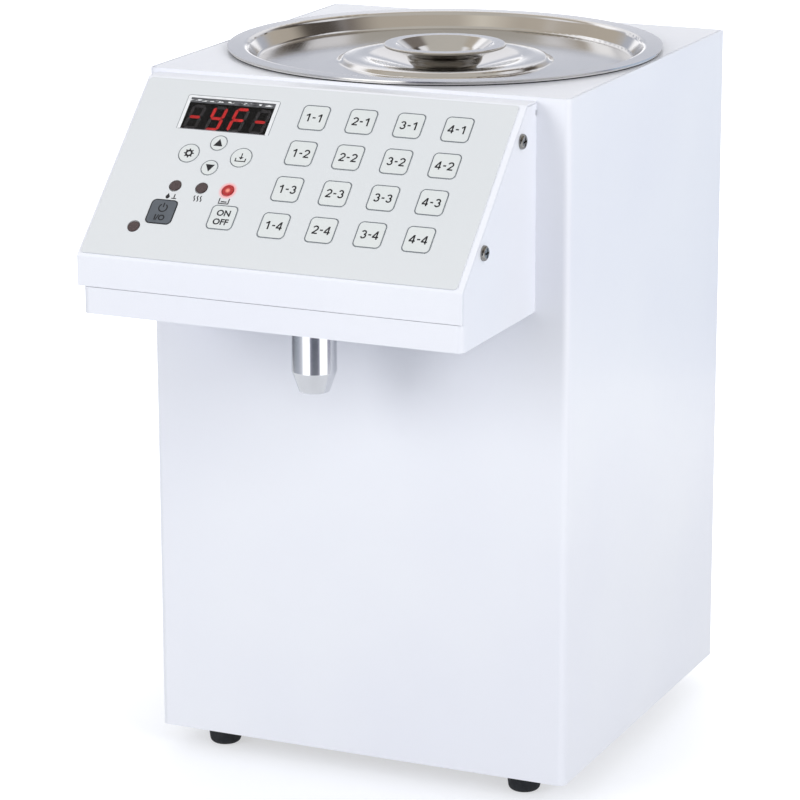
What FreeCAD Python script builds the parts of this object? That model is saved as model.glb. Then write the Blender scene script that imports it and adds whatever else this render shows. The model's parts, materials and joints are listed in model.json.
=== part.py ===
import FreeCAD
import Part
import math
import os

# Countertop fructose dispenser: a white sheet-steel cabinet with a round syrup tank hung from its top,
# a recessed lift-off lid with a cup knob, and a sloped control head that carries the keys and the nozzle.
# Syrup runs from the tank straight down into a gear pump and is pushed up a hose to the nozzle.
# Millimetres. +X right, +Y to the back, +Z up. The origin is under the middle of the machine's
# bounding box, at the level of the counter that its four rubber feet stand on.

V = FreeCAD.Vector

# ---- Cabinet ----
BODY_W = 260.0
BODY_H = 400.0
SHEET = 1.0                     # painted steel sheet of the cabinet and the head
CUT = 1.0                       # how far a cutting shape runs past the face that it cuts
BEND_R = 1.5                    # inside radius of an ordinary fold
FRONT_BEND_R = 3.0              # inside radius of the two tall front corners
SEAM_GAP = 0.3                  # gap between two cabinet sheets that meet
TOP_SIDE_GAP = 0.8              # open seam between the top plate and the side walls
BACK_FLANGE = 14.0              # inward flanges that the back panel is screwed to
BOTTOM_FLANGE = 22.0            # inward flanges under the base plate
BASE_WALL_H = 12.0
TOP_WALL_H = 14.0
TOP_NOTCH = 2.2                 # relief notches at the top plate's folded corners
BACK_REACH = 2.0                # how far screw heads and the inlet's rim stand out at the back

# ---- Control head ----
HEAD_LEFT_INSET = 7.5           # left and right sides, in from the cabinet's side walls
HEAD_RIGHT_INSET = 20.0
HEAD_REACH = 102.5              # front of the head, from the cabinet's front wall
HEAD_DROP = 2.0                 # head's top below the cabinet's top
HEAD_LEDGE = 13.5               # flat strip between the front wall and the slope
SLOPE_RISE = 86.0               # heights of the slope, the cover's lip and the housing's chin
LIP_H = 17.5
CHIN_H = 15.5
HEAD_CORNER_R = 3.0
COVER_OVERHANG = 3.0            # the cover stands past the left cheek
FLAP_DEPTH = 17.0               # the cover's side flaps, inside the cheeks
FLAP_GAP = 0.3
CHEEK_NOTCH_DROP = 5.0          # relief notch at each cheek's rear edge, below the head's top
CHEEK_NOTCH_H = 3.0
CHEEK_NOTCH_W = 1.4
WINDOW_MARGIN = 12.0            # opening from the cabinet into the head
WINDOW_R = 8.0

# ---- Control panel, measured from the slope's top edge and its middle line ----
FILM_T = 0.8
FILM_LEFT_MARGIN = 2.0
FILM_RIGHT_MARGIN = 3.8
FILM_TOP = 1.5
FILM_BOTTOM_MARGIN = 1.6
FILM_R = 2.0
KEY_GAP = 0.15                  # around each key in the film
KEY_T = 0.5
KEY_PROUD = 0.15
KEY_TRAVEL = 0.35
KEY_STEM_R = 2.4
KEY_STEM_DROP = 2.0             # stem end below the cover's outer face
KEY_HOLE_R = 3.0
DOSE_KEY = 16.7
DOSE_KEY_R = 3.0
DOSE_PITCH_X = 28.85
DOSE_PITCH_V = 24.25
DOSE_FIRST_X = -4.95
DOSE_FIRST_V = 20.5
DOSE_COLUMNS = 4
DOSE_ROWS = 4
LAMP_R = 3.5
LAMP_PROUD = 0.3
LAMP_SHOULDER = 0.5             # lens rim that lies on the cover around the lamp's hole
DISPLAY_W = 56.0
DISPLAY_H = 23.0
DISPLAY_X = -57.75
DISPLAY_V = 23.2
DISPLAY_RIM = 0.8               # lens edge that lies on the cover around the cut-out
DISPLAY_GAP = 0.2
DISPLAY_R = 1.0
LENS_T = 0.7
ROUND_KEYS = {                  # name: (x, distance down the slope, radius)
    "up_key": (-56.35, 42.6, 5.1),
    "down_key": (-56.35, 59.4, 5.1),
    "set_key": (-72.15, 51.0, 6.3),
    "save_key": (-39.55, 51.0, 6.5),
}
SQUARE_KEYS = {                 # name: (x, distance down the slope, side)
    "power_key": (-74.85, 91.1, 16.2),
    "manual_key": (-37.25, 91.2, 16.0),
}
LAMPS = [(-72.65, 73.1), (-56.25, 73.1), (-39.95, 73.1), (-88.25, 102.4)]
BOARD_T = 1.6
BOARD_DROP = 6.0                # board's upper face below the cover's inner face
BOARD_MARGIN = 9.0
BOARD_R = 2.0
SWITCH_SIDE = 6.0
SWITCH_R = 0.5
PLUNGER_R = 1.75
PLUNGER_H = 1.0
SWITCH_GAP = 0.05               # plunger to stem with the key held down
STUD_R = 1.5
STUD_INSET_X = 5.0              # in from the board's side edges, and from its upper and lower ones
STUD_INSET_V = 12.0
STUD_TAIL = 3.0                 # thread below the board
COVER_SCREW_V = (18.5, 92.0)    # cover screws: distance down the slope, and depth below it
COVER_SCREW_DEPTH = 8.3
SCREW_R = 2.0                   # M4 shank
SCREW_HEAD_R = 4.3
SCREW_HEAD_H = 2.2
SCREW_LENGTH = 8.0
PAN_ROUND = 0.7                 # cross-head shape, as shares of the head's height and radius
CROSS_DEPTH = 0.55
CROSS_REACH = 0.62
CROSS_ARM = 0.13

# ---- Tank and lid ----
TANK_SIDE_MARGIN = 11.0         # tank's inside to the outer faces of the side walls
TANK_END_MARGIN = 8.5           # and to those of the front wall and the back panel
TANK_DEPTH = 216.0
TANK_SHEET = 0.8
TANK_CORNER_R = 14.0
TANK_FALL = 6.0                 # the floor falls this much to its outlet
TANK_FLANGE_W = 7.8             # flange beyond the wall
SUMP_SLACK = 2.0                # drain bore above the outlet's hexagon
GASKET_T = 0.8
GASKET_SETBACK = 0.6            # gasket edge inside the flange's edge
TOP_HOLE_GAP = 1.2              # tank wall to the hole in the top plate
LID_GAP = 1.2                   # lid wall to tank wall
LID_SEAT = 0.3                  # lid rim to tank flange
LID_SHEET = 0.8
LID_OVERHANG = 0.8              # rim beyond the tank's flange
LID_RECESS = 9.8                # floor below the rim
LID_WALL_RUN = 5.5              # drawn wall's lean between the rim and the floor
LID_RIM_BEND_R = 3.0
LID_FLOOR_BEND_R = 3.0
LID_BOSS_R = 60.5
LID_BOSS_H = 2.3                # edges of the raised ring above the floor
LID_BOSS_RUN = 3.0              # outer flank of the ring
LID_BOSS_BEND_R = 2.5
LID_CREST_W = 14.5
LID_CREST_RISE = 0.5            # middle of the ring's crest above its edges
LID_CREST_DOME_R = 55.0
LID_CREST_BEND_R = 10.0
LID_DISH_DEPTH = 6.8            # knob seat below the crest's edges
LID_DISH_BEND_R = 6.0
LID_SEAT_MARGIN = 1.0           # flat seat beyond the knob's foot
KNOB_R = 36.0
KNOB_LIP = 7.0
KNOB_NECK_TOP_R = 22.9
KNOB_NECK_R = 22.0              # bulge of the neck's lower half
KNOB_NECK_UP = 4.0
KNOB_NECK_BEND_R = 5.0
KNOB_SEAT_R = 18.6
KNOB_H = 14.4
KNOB_WALL = 1.4
KNOB_NECK_DROP = 6.4            # top of the neck and of the bowl's wall below the lip
KNOB_BOWL_DROP = 5.0
KNOB_LIP_BEND_R = 4.0           # between the neck and the lip
KNOB_BEND_R = 7.0
KNOB_FLOOR_T = 3.2
KNOB_FLOOR_STEP = 3.0           # bowl's floor inside the foot's radius
KNOB_FLOOR_BEND_R = 4.0
KNOB_FOOT_R = 1.0               # roundings of the foot, the lip's rim and the bowl's edge
KNOB_RIM_R = 0.6
KNOB_BOWL_R = 0.8
KNOB_SCREW_R = 2.5
KNOB_SCREW_L = 3.0
KNOB_SCREW_HEAD_H = 3.0
KNOB_SCREW_SLACK = 0.4          # threaded hole past the screw's end

# ---- Heater and outlet under the tank ----
HEATER_H = 50.0
HEATER_T = 1.6
HEATER_UP = 34.0                # band's lower edge above the tank's bottom
HEATER_SPLIT = 6.0              # gap between the band's ends
SENSOR_R = 4.0
SENSOR_H = 7.0
SENSOR_FLANGE_R = 8.0
SENSOR_FLANGE_T = 2.0
SENSOR_EDGE_R = 0.4
SENSOR_X = -62.0
HOSE_BORE_R = 4.0
HOSE_WALL = 2.0
BARB_GAP = 0.05                 # hose bore around a barb
SOFT_GAP = 0.3
OUTLET_NUT_AF = 24.0
OUTLET_NUT_H = 8.0
OUTLET_BARB_L = 20.0
CLAMP_W = 7.0
CLAMP_T = 1.0
CLAMP_INSET = 6.0

# ---- Gear pump and motor ----
PUMP_UP = 85.0                  # shaft height above the cabinet's bottom
TEETH = 12
MODULE = 1.75
PRESSURE_ANGLE = 28.0
DEDENDUM = 1.25                 # root depth in modules
BACKLASH = 0.12
GEAR_W = 16.0
TIP_CLEARANCE = 0.08
SIDE_CLEARANCE = 0.05
SHAFT_R = 3.0
SHAFT_GAP = 0.05
PUMP_WALL = 8.0                 # metal around the gear chamber
PUMP_BACK_WALL = 10.0
PUMP_COVER_T = 8.0
PUMP_CORNER_R = 6.0
PORT_BORE_R = 3.0
PORT_BOSS_R = 7.0
PORT_BOSS_L = 5.0
PORT_BARB_L = 18.0
BORE_FLOOR = 1.5                # metal left at the end of a blind shaft bore
END_PLAY = 0.5                  # shaft end to the floor of its bore
PUMP_SCREW_R = 2.5
PUMP_SCREW_HEAD_R = 4.25
PUMP_SCREW_HEAD_H = 5.0
PUMP_SCREW_END = 1.5            # screw ends past the bracket
SOCKET_AF = 4.0
SOCKET_DEPTH = 2.9
BRACKET_T = 2.0
BRACKET_W = 70.0
BRACKET_GAP = 26.0              # between the pump plate and the motor plate
MOTOR_R = 29.0
MOTOR_L = 68.0
MOTOR_END_R = 24.0
MOTOR_END_L = 3.0
MOTOR_PILOT_R = 11.0
MOTOR_PILOT_H = 1.5
MOTOR_EDGE_R = 2.0
MOTOR_SHAFT_R = 4.0
MOTOR_SHAFT_IN = 15.0           # shaft inside the motor
MOTOR_SCREW_OUT = 6.0           # screw circle beyond the pilot
MOTOR_SCREW_IN = 6.0
SHAFT_MEET = 1.0                # each shaft's end to the coupling's middle
COUPLING_R = 10.0
COUPLING_L = 20.0
COUPLING_BORE_GAP = 0.02
COUPLING_EDGE_R = 0.8
GRUB_R = 1.5

# ---- Nozzle and its hose ----
NOZZLE_Y = 55.0                 # axis in front of the cabinet
NOZZLE_R = 12.75
NOZZLE_L = 31.8
NOZZLE_CONE_L = 11.7
NOZZLE_TIP_R = 8.7
NOZZLE_BORE_R = 3.0
NOZZLE_SHANK_R = 8.0
NOZZLE_NUT_AF = 24.0
NOZZLE_NUT_H = 5.0
NOZZLE_HOLE_GAP = 0.2
NOZZLE_EDGE_R = 0.5
NOZZLE_SHOULDER_R = 0.8
ELBOW_UP = 26.0                 # elbow axis above the head's bottom
ELBOW_SIDE = 16.0
ELBOW_EDGE_R = 2.0
ELBOW_BARB_L = 18.0

# ---- Electrical parts at the back ----
SUPPLY_W = 38.0
SUPPLY_D = 150.0
SUPPLY_H = 97.0
SUPPLY_INSET = 46.0             # middle of the supply, in from the cabinet's left side
SUPPLY_BACK_GAP = 52.0
SUPPLY_HOLE_R = 2.5
SUPPLY_HOLE_DEPTH = 1.5
SUPPLY_HOLE_PITCH = 9.0
SUPPLY_HOLE_COLUMNS = 10
SUPPLY_HOLE_ROWS = 6
SUPPLY_HOLES_UP = 22.0
TERMINAL_DEPTH = 12.0
TERMINAL_MARGIN_X = 3.0
TERMINAL_MARGIN_Z = 8.0
INLET_INSET = 46.0              # middle of the inlet, in from the cabinet's left side
INLET_UP = 45.0
INLET_W = 27.0
INLET_H = 20.0
INLET_DEPTH = 24.0
INLET_RIM = 5.0
INLET_RIM_T = 1.8
INLET_RIM_R = 3.0
INLET_BODY_R = 2.0
INLET_WALL = 2.0
INLET_FLOOR = 5.0
INLET_CORNER = 5.0              # slanted upper corners of the well
PIN_W = 2.0
PIN_H = 4.0
PIN_ROOT = 1.0                  # pins start this deep in the well's floor
PIN_SETBACK = 3.0               # pin ends behind the panel's face
PINS = [(-7.0, -2.0), (7.0, -2.0), (0.0, 3.0)]
VENT_COLUMNS = 2
VENT_ROWS = 7
VENT_L = 60.0
VENT_W = 4.0
VENT_PITCH = 11.0
VENT_UP = 150.0
BASE_VENT_ROWS = 7
BACK_SCREW_INSET = 7.0
BACK_SCREW_R = 1.5
BACK_SCREW_HEAD_R = 3.0

# ---- Feet ----
FOOT_H = 13.0
FOOT_TOP_R = 10.8
FOOT_SOLE_R = 9.0
FOOT_BORE_R = 4.5
FOOT_SEAT_T = 3.0               # rubber between the screw's head and the cabinet
FOOT_EDGE_R = 3.0
FOOT_INSET_X = 32.5
FOOT_INSET_Y = 20.0
FOOT_NUT_AF = 7.0
FOOT_NUT_H = 3.2
FOOT_SCREW_END = 0.3            # screw ends past its nut

# ---- Planes worked out from the sizes above ----
Z_BOTTOM = FOOT_H
Z_TOP = Z_BOTTOM + BODY_H
TANK_R = BODY_W / 2 - TANK_SIDE_MARGIN          # inside
BODY_D = 2 * (TANK_R + TANK_END_MARGIN)         # a round tank takes the same length both ways
Y_FRONT = (HEAD_REACH - BODY_D - BACK_REACH) / 2
Y_BACK = Y_FRONT + BODY_D
X_WALL = BODY_W / 2
HEAD_LEFT = X_WALL - HEAD_LEFT_INSET            # from the cabinet's middle plane
HEAD_RIGHT = X_WALL - HEAD_RIGHT_INSET
HEAD_TOP = BODY_H - HEAD_DROP                   # above the cabinet's bottom
HEAD_BROW = HEAD_TOP - SLOPE_RISE
HEAD_SEAM = HEAD_BROW - LIP_H
HEAD_BOTTOM = HEAD_SEAM - CHIN_H
PANEL_X = (HEAD_RIGHT - HEAD_LEFT) / 2
PANEL_HALF = (HEAD_RIGHT + HEAD_LEFT) / 2
TANK_Y = Y_FRONT + BODY_D / 2
TANK_FLANGE_R = TANK_R + TANK_SHEET + TANK_FLANGE_W
LID_WALL_R = TANK_R - LID_GAP - LID_SHEET
LID_RIM_R = TANK_FLANGE_R + LID_OVERHANG
SUPPLY_X = SUPPLY_INSET - X_WALL
INLET_X = INLET_INSET - X_WALL
FOOT_X = X_WALL - FOOT_INSET_X
Z_FLANGE = Z_TOP + GASKET_T
Z_TANK_FLOOR = Z_FLANGE + TANK_SHEET - TANK_DEPTH
Z_RIM = Z_FLANGE + TANK_SHEET + LID_SEAT + LID_SHEET
Z_BOARD = -SHEET - BOARD_DROP                   # control board's upper face below the slope
BASE_TOP = Z_BOTTOM + 2 * SHEET
BARB_R = HOSE_BORE_R - BARB_GAP
HOSE_R = HOSE_BORE_R + HOSE_WALL


# ---- Shape helpers ----
def box(x0, x1, y0, y1, z0, z1):
    return Part.makeBox(x1 - x0, y1 - y0, z1 - z0, V(x0, y0, z0))


def rod(radius, start, end):
    span = end - start
    return Part.makeCylinder(radius, span.Length, start, span)


def fuse(shapes):
    return shapes[0].multiFuse(shapes[1:]).removeSplitter()


def rounded_wire(corners):
    """Closed wire in the XY plane through (x, y, radius) corners."""
    return Part.Wire(rounded_edges(corners, True))


def rounded_edges(corners, closed):
    """Straight edges joined by tangent arcs; each corner is (x, y, radius)."""
    count = len(corners)
    points = [V(x, y, 0) for x, y, radius in corners]
    edges = []
    joints = []
    for i in range(count):
        radius = corners[i][2]
        if radius <= 0 or (not closed and i in (0, count - 1)):
            joints.append((points[i], points[i], None))
            continue
        to_last = (points[i - 1] - points[i]).normalize()
        to_next = (points[(i + 1) % count] - points[i]).normalize()
        half = to_last.getAngle(to_next) / 2
        reach = radius / math.tan(half)
        middle = (to_last + to_next).normalize()
        centre = points[i] + middle * (radius / math.sin(half))
        joints.append((points[i] + to_last * reach, points[i] + to_next * reach, centre - middle * radius))
    for i in range(count):
        start, end, on_arc = joints[i]
        if on_arc is not None:
            edges.append(Part.Arc(start, on_arc, end).toShape())
        if i == count - 1 and not closed:
            break
        following = joints[(i + 1) % count][0]
        if (following - end).Length > 1e-6:
            edges.append(Part.LineSegment(end, following).toShape())
    return edges


def sheet_outline(path, thickness):
    """Closed wire of a folded sheet: the path is one skin, the other lies to its left.

    Each path point is (x, y, inside radius of the fold)."""
    points = [V(x, y, 0) for x, y, radius in path]
    turn = FreeCAD.Rotation(V(0, 0, 1), 90)
    normals = [turn.multVec((b - a).normalize()) for a, b in zip(points, points[1:])]
    skin = []
    other = []
    for i, point in enumerate(points):
        radius = path[i][2]
        if i in (0, len(points) - 1):
            normal = normals[0 if i == 0 else -1]
            skin.append((point.x, point.y, 0))
            shifted = point + normal * thickness
            other.append((shifted.x, shifted.y, 0))
            continue
        before, after = normals[i - 1], normals[i]
        middle = (before + after).normalize()
        shifted = point + middle * (thickness / middle.dot(before))
        turns_left = before.cross(after).z > 0
        skin.append((point.x, point.y, radius + thickness if turns_left else radius))
        other.append((shifted.x, shifted.y, radius if turns_left else radius + thickness))
    return rounded_wire(skin + other[::-1])


def prism(wire, height, z=0.0):
    solid = Part.Face(wire).extrude(V(0, 0, height))
    solid.translate(V(0, 0, z))
    return solid


def plate(width, depth, radius, height, centre=(0.0, 0.0), z=0.0):
    """Flat plate with rounded corners, centred in X and Y."""
    x, y = width / 2, depth / 2
    corners = [(-x, -y, radius), (x, -y, radius), (x, y, radius), (-x, y, radius)]
    solid = prism(rounded_wire(corners), height, z)
    solid.translate(V(centre[0], centre[1], 0))
    return solid


def side_prism(wire, x0, x1):
    """Extrudes a wire drawn as (y, z) along X."""
    solid = Part.Face(wire).extrude(V(0, 0, x1 - x0))
    solid.Placement = FreeCAD.Placement(V(x0, 0, 0), FreeCAD.Rotation(V(0, 1, 0), V(0, 0, 1), V(1, 0, 0)))
    return solid


def turned(wire, axis=V(0, 0, 0)):
    """Revolves a wire drawn as (radius, z) about the vertical line through axis."""
    face = Part.Face(wire)
    face.rotate(V(0, 0, 0), V(1, 0, 0), 90)
    solid = face.revolve(V(0, 0, 0), V(0, 0, 1), 360)
    solid.translate(axis)
    return solid


def ring(inner, outer, z0, z1, axis=V(0, 0, 0)):
    return turned(rounded_wire([(inner, z0, 0), (outer, z0, 0), (outer, z1, 0), (inner, z1, 0)]), axis)


def polar(radius, angle):
    return V(radius * math.cos(angle), radius * math.sin(angle), 0)


def hexagon(across_flats, height, base):
    radius = across_flats / math.sqrt(3)
    points = [polar(radius, math.radians(60 * i)) for i in range(6)]
    solid = prism(rounded_wire([(p.x, p.y, 0) for p in points]), height)
    solid.translate(base)
    return solid


def cross_head_screw(radius, length, head_radius, head_height):
    """Pan-head screw along Z: its shank ends below, and its head's seat is at z = 0."""
    rounding = head_height * PAN_ROUND
    head = turned(rounded_wire([(0, 0, 0), (head_radius, 0, 0), (head_radius, head_height, rounding),
                                (0, head_height, 0)]))
    slot = head_radius * CROSS_REACH
    arm = head_radius * CROSS_ARM
    z_low, z_high = head_height * (1 - CROSS_DEPTH), head_height + CUT
    recess = box(-slot, slot, -arm, arm, z_low, z_high).fuse(box(-arm, arm, -slot, slot, z_low, z_high))
    shank = rod(radius, V(0, 0, -length), V(0, 0, 0))
    return fuse([head.cut(recess), shank])


def placed(shape, base, direction=V(0, 0, 1)):
    """Copy of a shape with its Z axis turned to a direction and its origin moved to base."""
    copy = shape.copy()
    copy.Placement = FreeCAD.Placement(base, FreeCAD.Rotation(V(0, 0, 1), direction))
    return copy


def tube_along(points, radius, bore, bend_radii):
    """Hose along straight runs joined by tangent arcs."""
    path = bent_path(points, bend_radii)
    start = (points[1] - points[0]).normalize()
    solids = []
    for size in (radius, bore):
        circle = Part.Wire(Part.Circle(points[0], start, size).toShape())
        solids.append(path.makePipeShell([circle], True, False))
    return solids[0].cut(solids[1])


def bent_path(points, bend_radii):
    edges = []
    last = points[0]
    for i in range(1, len(points) - 1):
        back = (points[i - 1] - points[i]).normalize()
        ahead = (points[i + 1] - points[i]).normalize()
        half = back.getAngle(ahead) / 2
        radius = bend_radii[i - 1]
        reach = radius / math.tan(half)
        middle = (back + ahead).normalize()
        on_arc = points[i] + middle * (radius / math.sin(half) - radius)
        start, end = points[i] + back * reach, points[i] + ahead * reach
        edges.append(Part.LineSegment(last, start).toShape())
        edges.append(Part.Arc(start, on_arc, end).toShape())
        last = end
    edges.append(Part.LineSegment(last, points[-1]).toShape())
    return Part.Wire(edges)


# ---- Cabinet sheets ----
def wrap_shell():
    """Front wall and both side walls from one sheet, with flanges at the back and the bottom."""
    y_back = Y_BACK - SHEET
    path = [(X_WALL - BACK_FLANGE, y_back, 0), (X_WALL, y_back, BEND_R), (X_WALL, Y_FRONT, FRONT_BEND_R),
            (-X_WALL, Y_FRONT, FRONT_BEND_R), (-X_WALL, y_back, BEND_R), (-X_WALL + BACK_FLANGE, y_back, 0)]
    walls = prism(sheet_outline(path[::-1], SHEET), BODY_H, Z_BOTTOM)
    inner = FRONT_BEND_R + SHEET
    floor = prism(rounded_wire([(-X_WALL, Y_FRONT, inner), (X_WALL, Y_FRONT, inner),
                                (X_WALL, y_back, BEND_R), (-X_WALL, y_back, BEND_R)]), SHEET, Z_BOTTOM)
    opening = box(-X_WALL + BOTTOM_FLANGE, X_WALL - BOTTOM_FLANGE, Y_FRONT + BOTTOM_FLANGE, Y_BACK,
                  Z_BOTTOM - CUT, Z_BOTTOM + 2 * SHEET)
    shell = fuse([walls, floor.cut(opening)])
    window = plate(2 * (PANEL_HALF - WINDOW_MARGIN), HEAD_TOP - HEAD_BOTTOM - 2 * WINDOW_MARGIN, WINDOW_R,
                   4 * SHEET, (PANEL_X, (HEAD_TOP + HEAD_BOTTOM) / 2))
    window.rotate(V(0, 0, 0), V(1, 0, 0), 90)
    window.translate(V(0, Y_FRONT + 2 * SHEET, Z_BOTTOM))
    under_top = box(-X_WALL + SHEET, X_WALL - SHEET, y_back - BEND_R - SHEET, Y_BACK,
                    Z_TOP - SHEET - SEAM_GAP, Z_TOP + CUT)
    threads = [rod(BACK_SCREW_R + BARB_GAP, p - V(0, 3 * SHEET, 0), p) for p in back_screw_places()]
    return shell.cut(fuse([window, under_top] + threads + foot_bolt_holes()))


def foot_places():
    y_front = Y_FRONT + FOOT_INSET_Y
    y_back = Y_BACK - FOOT_INSET_Y
    return [V(x, y, 0) for y in (y_front, y_back) for x in (-FOOT_X, FOOT_X)]


def foot_bolt_holes():
    radius = SCREW_R + SEAM_GAP
    return [rod(radius, p + V(0, 0, Z_BOTTOM - CUT), p + V(0, 0, BASE_TOP + CUT)) for p in foot_places()]


def tray(x_half, y0, y1, z_plate, wall_height, up):
    """Plate with four folded walls, one sheet thick: a base when up, a top when not."""
    depth = y1 - y0
    z0 = z_plate if up else z_plate + SHEET - wall_height
    centre = (0, (y0 + y1) / 2)
    outer = plate(2 * x_half, depth, FRONT_BEND_R, wall_height, centre, z0)
    z_inner = z0 + SHEET if up else z0 - SHEET
    inner_r = FRONT_BEND_R - SHEET
    inner = plate(2 * x_half - 2 * SHEET, depth - 2 * SHEET, inner_r, wall_height, centre, z_inner)
    return outer.cut(inner)


def base_plate():
    x_half = X_WALL - SHEET - SEAM_GAP
    y0 = Y_FRONT + SHEET + SEAM_GAP
    y1 = Y_BACK - 2 * SHEET - SEAM_GAP
    base = tray(x_half, y0, y1, Z_BOTTOM + SHEET, BASE_WALL_H, True)
    slots = []
    for row in range(BASE_VENT_ROWS):
        y = TANK_Y + (row - BASE_VENT_ROWS // 2) * VENT_PITCH
        for x in (-VENT_L, VENT_L / 2):
            slots.append(box(x, x + VENT_L / 2, y, y + VENT_W, Z_BOTTOM, BASE_TOP + CUT))
    return base.cut(fuse(foot_bolt_holes() + slots))


def top_plate():
    x_half = X_WALL - SHEET - TOP_SIDE_GAP
    y0 = Y_FRONT + SHEET + SEAM_GAP
    y1 = Y_BACK - SHEET - SEAM_GAP
    top = tray(x_half, y0, y1, Z_TOP - SHEET, TOP_WALL_H, False)
    hole_r = TANK_R + TANK_SHEET + TOP_HOLE_GAP
    z_under = Z_TOP - TOP_WALL_H - CUT
    cuts = [rod(hole_r, V(0, TANK_Y, Z_TOP - 2 * SHEET), V(0, TANK_Y, Z_TOP + CUT))]
    for x in (-x_half, x_half - TOP_NOTCH):
        for y in (y0, y1 - TOP_NOTCH):
            cuts.append(box(x, x + TOP_NOTCH, y, y + TOP_NOTCH, z_under, Z_TOP + CUT))
    flange_w = BACK_FLANGE + SEAM_GAP
    for x in (-X_WALL, X_WALL - flange_w):
        cuts.append(box(x, x + flange_w, y1 - BEND_R - SHEET, Y_BACK, z_under, Z_TOP - SHEET))
    return top.cut(fuse(cuts))


def back_screw_places():
    x = X_WALL - BACK_SCREW_INSET
    z_low = Z_BOTTOM + BOTTOM_FLANGE
    z_high = Z_TOP - BOTTOM_FLANGE
    heights = [z_low + (z_high - z_low) * i / 3 for i in range(4)]
    return [V(side * x, Y_BACK, z) for side in (-1, 1) for z in heights]


def back_panel():
    """Flat panel over the back flanges, with vent slots and the cut-out of the mains inlet."""
    panel = box(-X_WALL + BEND_R + SHEET, X_WALL - BEND_R - SHEET, Y_BACK - SHEET, Y_BACK,
                Z_BOTTOM + SEAM_GAP, Z_TOP - SEAM_GAP)
    through = V(0, 2 * SHEET, 0)
    cuts = [rod(BACK_SCREW_R + SEAM_GAP, p - through, p + through) for p in back_screw_places()]
    for column in range(VENT_COLUMNS):
        x = (column - (VENT_COLUMNS - 1) / 2) * (VENT_L + BACK_FLANGE)
        for row in range(VENT_ROWS):
            z = Z_BOTTOM + VENT_UP + row * VENT_PITCH
            slot = plate(VENT_L, VENT_W, VENT_W / 2, 3 * SHEET)
            slot.rotate(V(0, 0, 0), V(1, 0, 0), 90)
            slot.translate(V(x, Y_BACK + SHEET, z))
            cuts.append(slot)
    x_half, z_half = INLET_W / 2 + SEAM_GAP, INLET_H / 2 + SEAM_GAP
    z_inlet = Z_BOTTOM + INLET_UP
    cuts.append(box(INLET_X - x_half, INLET_X + x_half, Y_BACK - SHEET - CUT, Y_BACK + CUT,
                    z_inlet - z_half, z_inlet + z_half))
    return panel.cut(fuse(cuts))


def back_screws():
    screw = cross_head_screw(BACK_SCREW_R, SHEET + SHEET, BACK_SCREW_HEAD_R, BACK_REACH)
    return [placed(screw, p, V(0, 1, 0)) for p in back_screw_places()]


def rubber_feet():
    """Tapered bumpers, each with a well for its screw's head."""
    z_seat = Z_BOTTOM - FOOT_SEAT_T
    outline = rounded_wire([(SCREW_R + SEAM_GAP, Z_BOTTOM, 0), (SCREW_R + SEAM_GAP, z_seat, 0),
                            (FOOT_BORE_R, z_seat, 0), (FOOT_BORE_R, 0, 0),
                            (FOOT_SOLE_R, 0, FOOT_EDGE_R), (FOOT_TOP_R, Z_BOTTOM, 0)])
    return [turned(outline, place) for place in foot_places()]


def foot_screws():
    length = FOOT_SEAT_T + 2 * SHEET + FOOT_NUT_H + FOOT_SCREW_END
    screw = cross_head_screw(SCREW_R, length, SCREW_HEAD_R, SCREW_HEAD_H)
    thread = rod(SCREW_R + BARB_GAP, V(0, 0, -CUT), V(0, 0, FOOT_NUT_H + CUT))
    nut = hexagon(FOOT_NUT_AF, FOOT_NUT_H, V(0, 0, 0)).cut(thread)
    solids = []
    for place in foot_places():
        solids.append(placed(screw, place + V(0, 0, Z_BOTTOM - FOOT_SEAT_T), V(0, 0, -1)))
        solids.append(placed(nut, place + V(0, 0, BASE_TOP)))
    return solids


# ---- Control head ----
SLOPE = math.atan2(SLOPE_RISE, HEAD_REACH - HEAD_LEDGE)
SLOPE_L = math.hypot(SLOPE_RISE, HEAD_REACH - HEAD_LEDGE)
PANEL = FreeCAD.Placement(V(PANEL_X, Y_FRONT - HEAD_LEDGE, Z_BOTTOM + HEAD_TOP),
                          FreeCAD.Rotation(V(1, 0, 0), math.degrees(SLOPE)))


def on_panel(shape):
    """Moves a shape drawn as (x from the middle line, distance up the slope, height over it) there."""
    copy = shape.copy()
    copy.Placement = PANEL.multiply(copy.Placement)
    return copy


def head_profile(inset):
    """Side view of the head as (y, z) corners, shrunk by an inset on the top, slope and front."""
    y_front = Y_FRONT - HEAD_REACH + inset
    top = Z_BOTTOM + HEAD_TOP - inset
    run = inset * math.tan(SLOPE / 2)
    drop = inset * math.tan((math.pi / 2 - SLOPE) / 2)
    return [(Y_FRONT, top), (Y_FRONT - HEAD_LEDGE + run, top), (y_front, Z_BOTTOM + HEAD_BROW - drop)]


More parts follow.
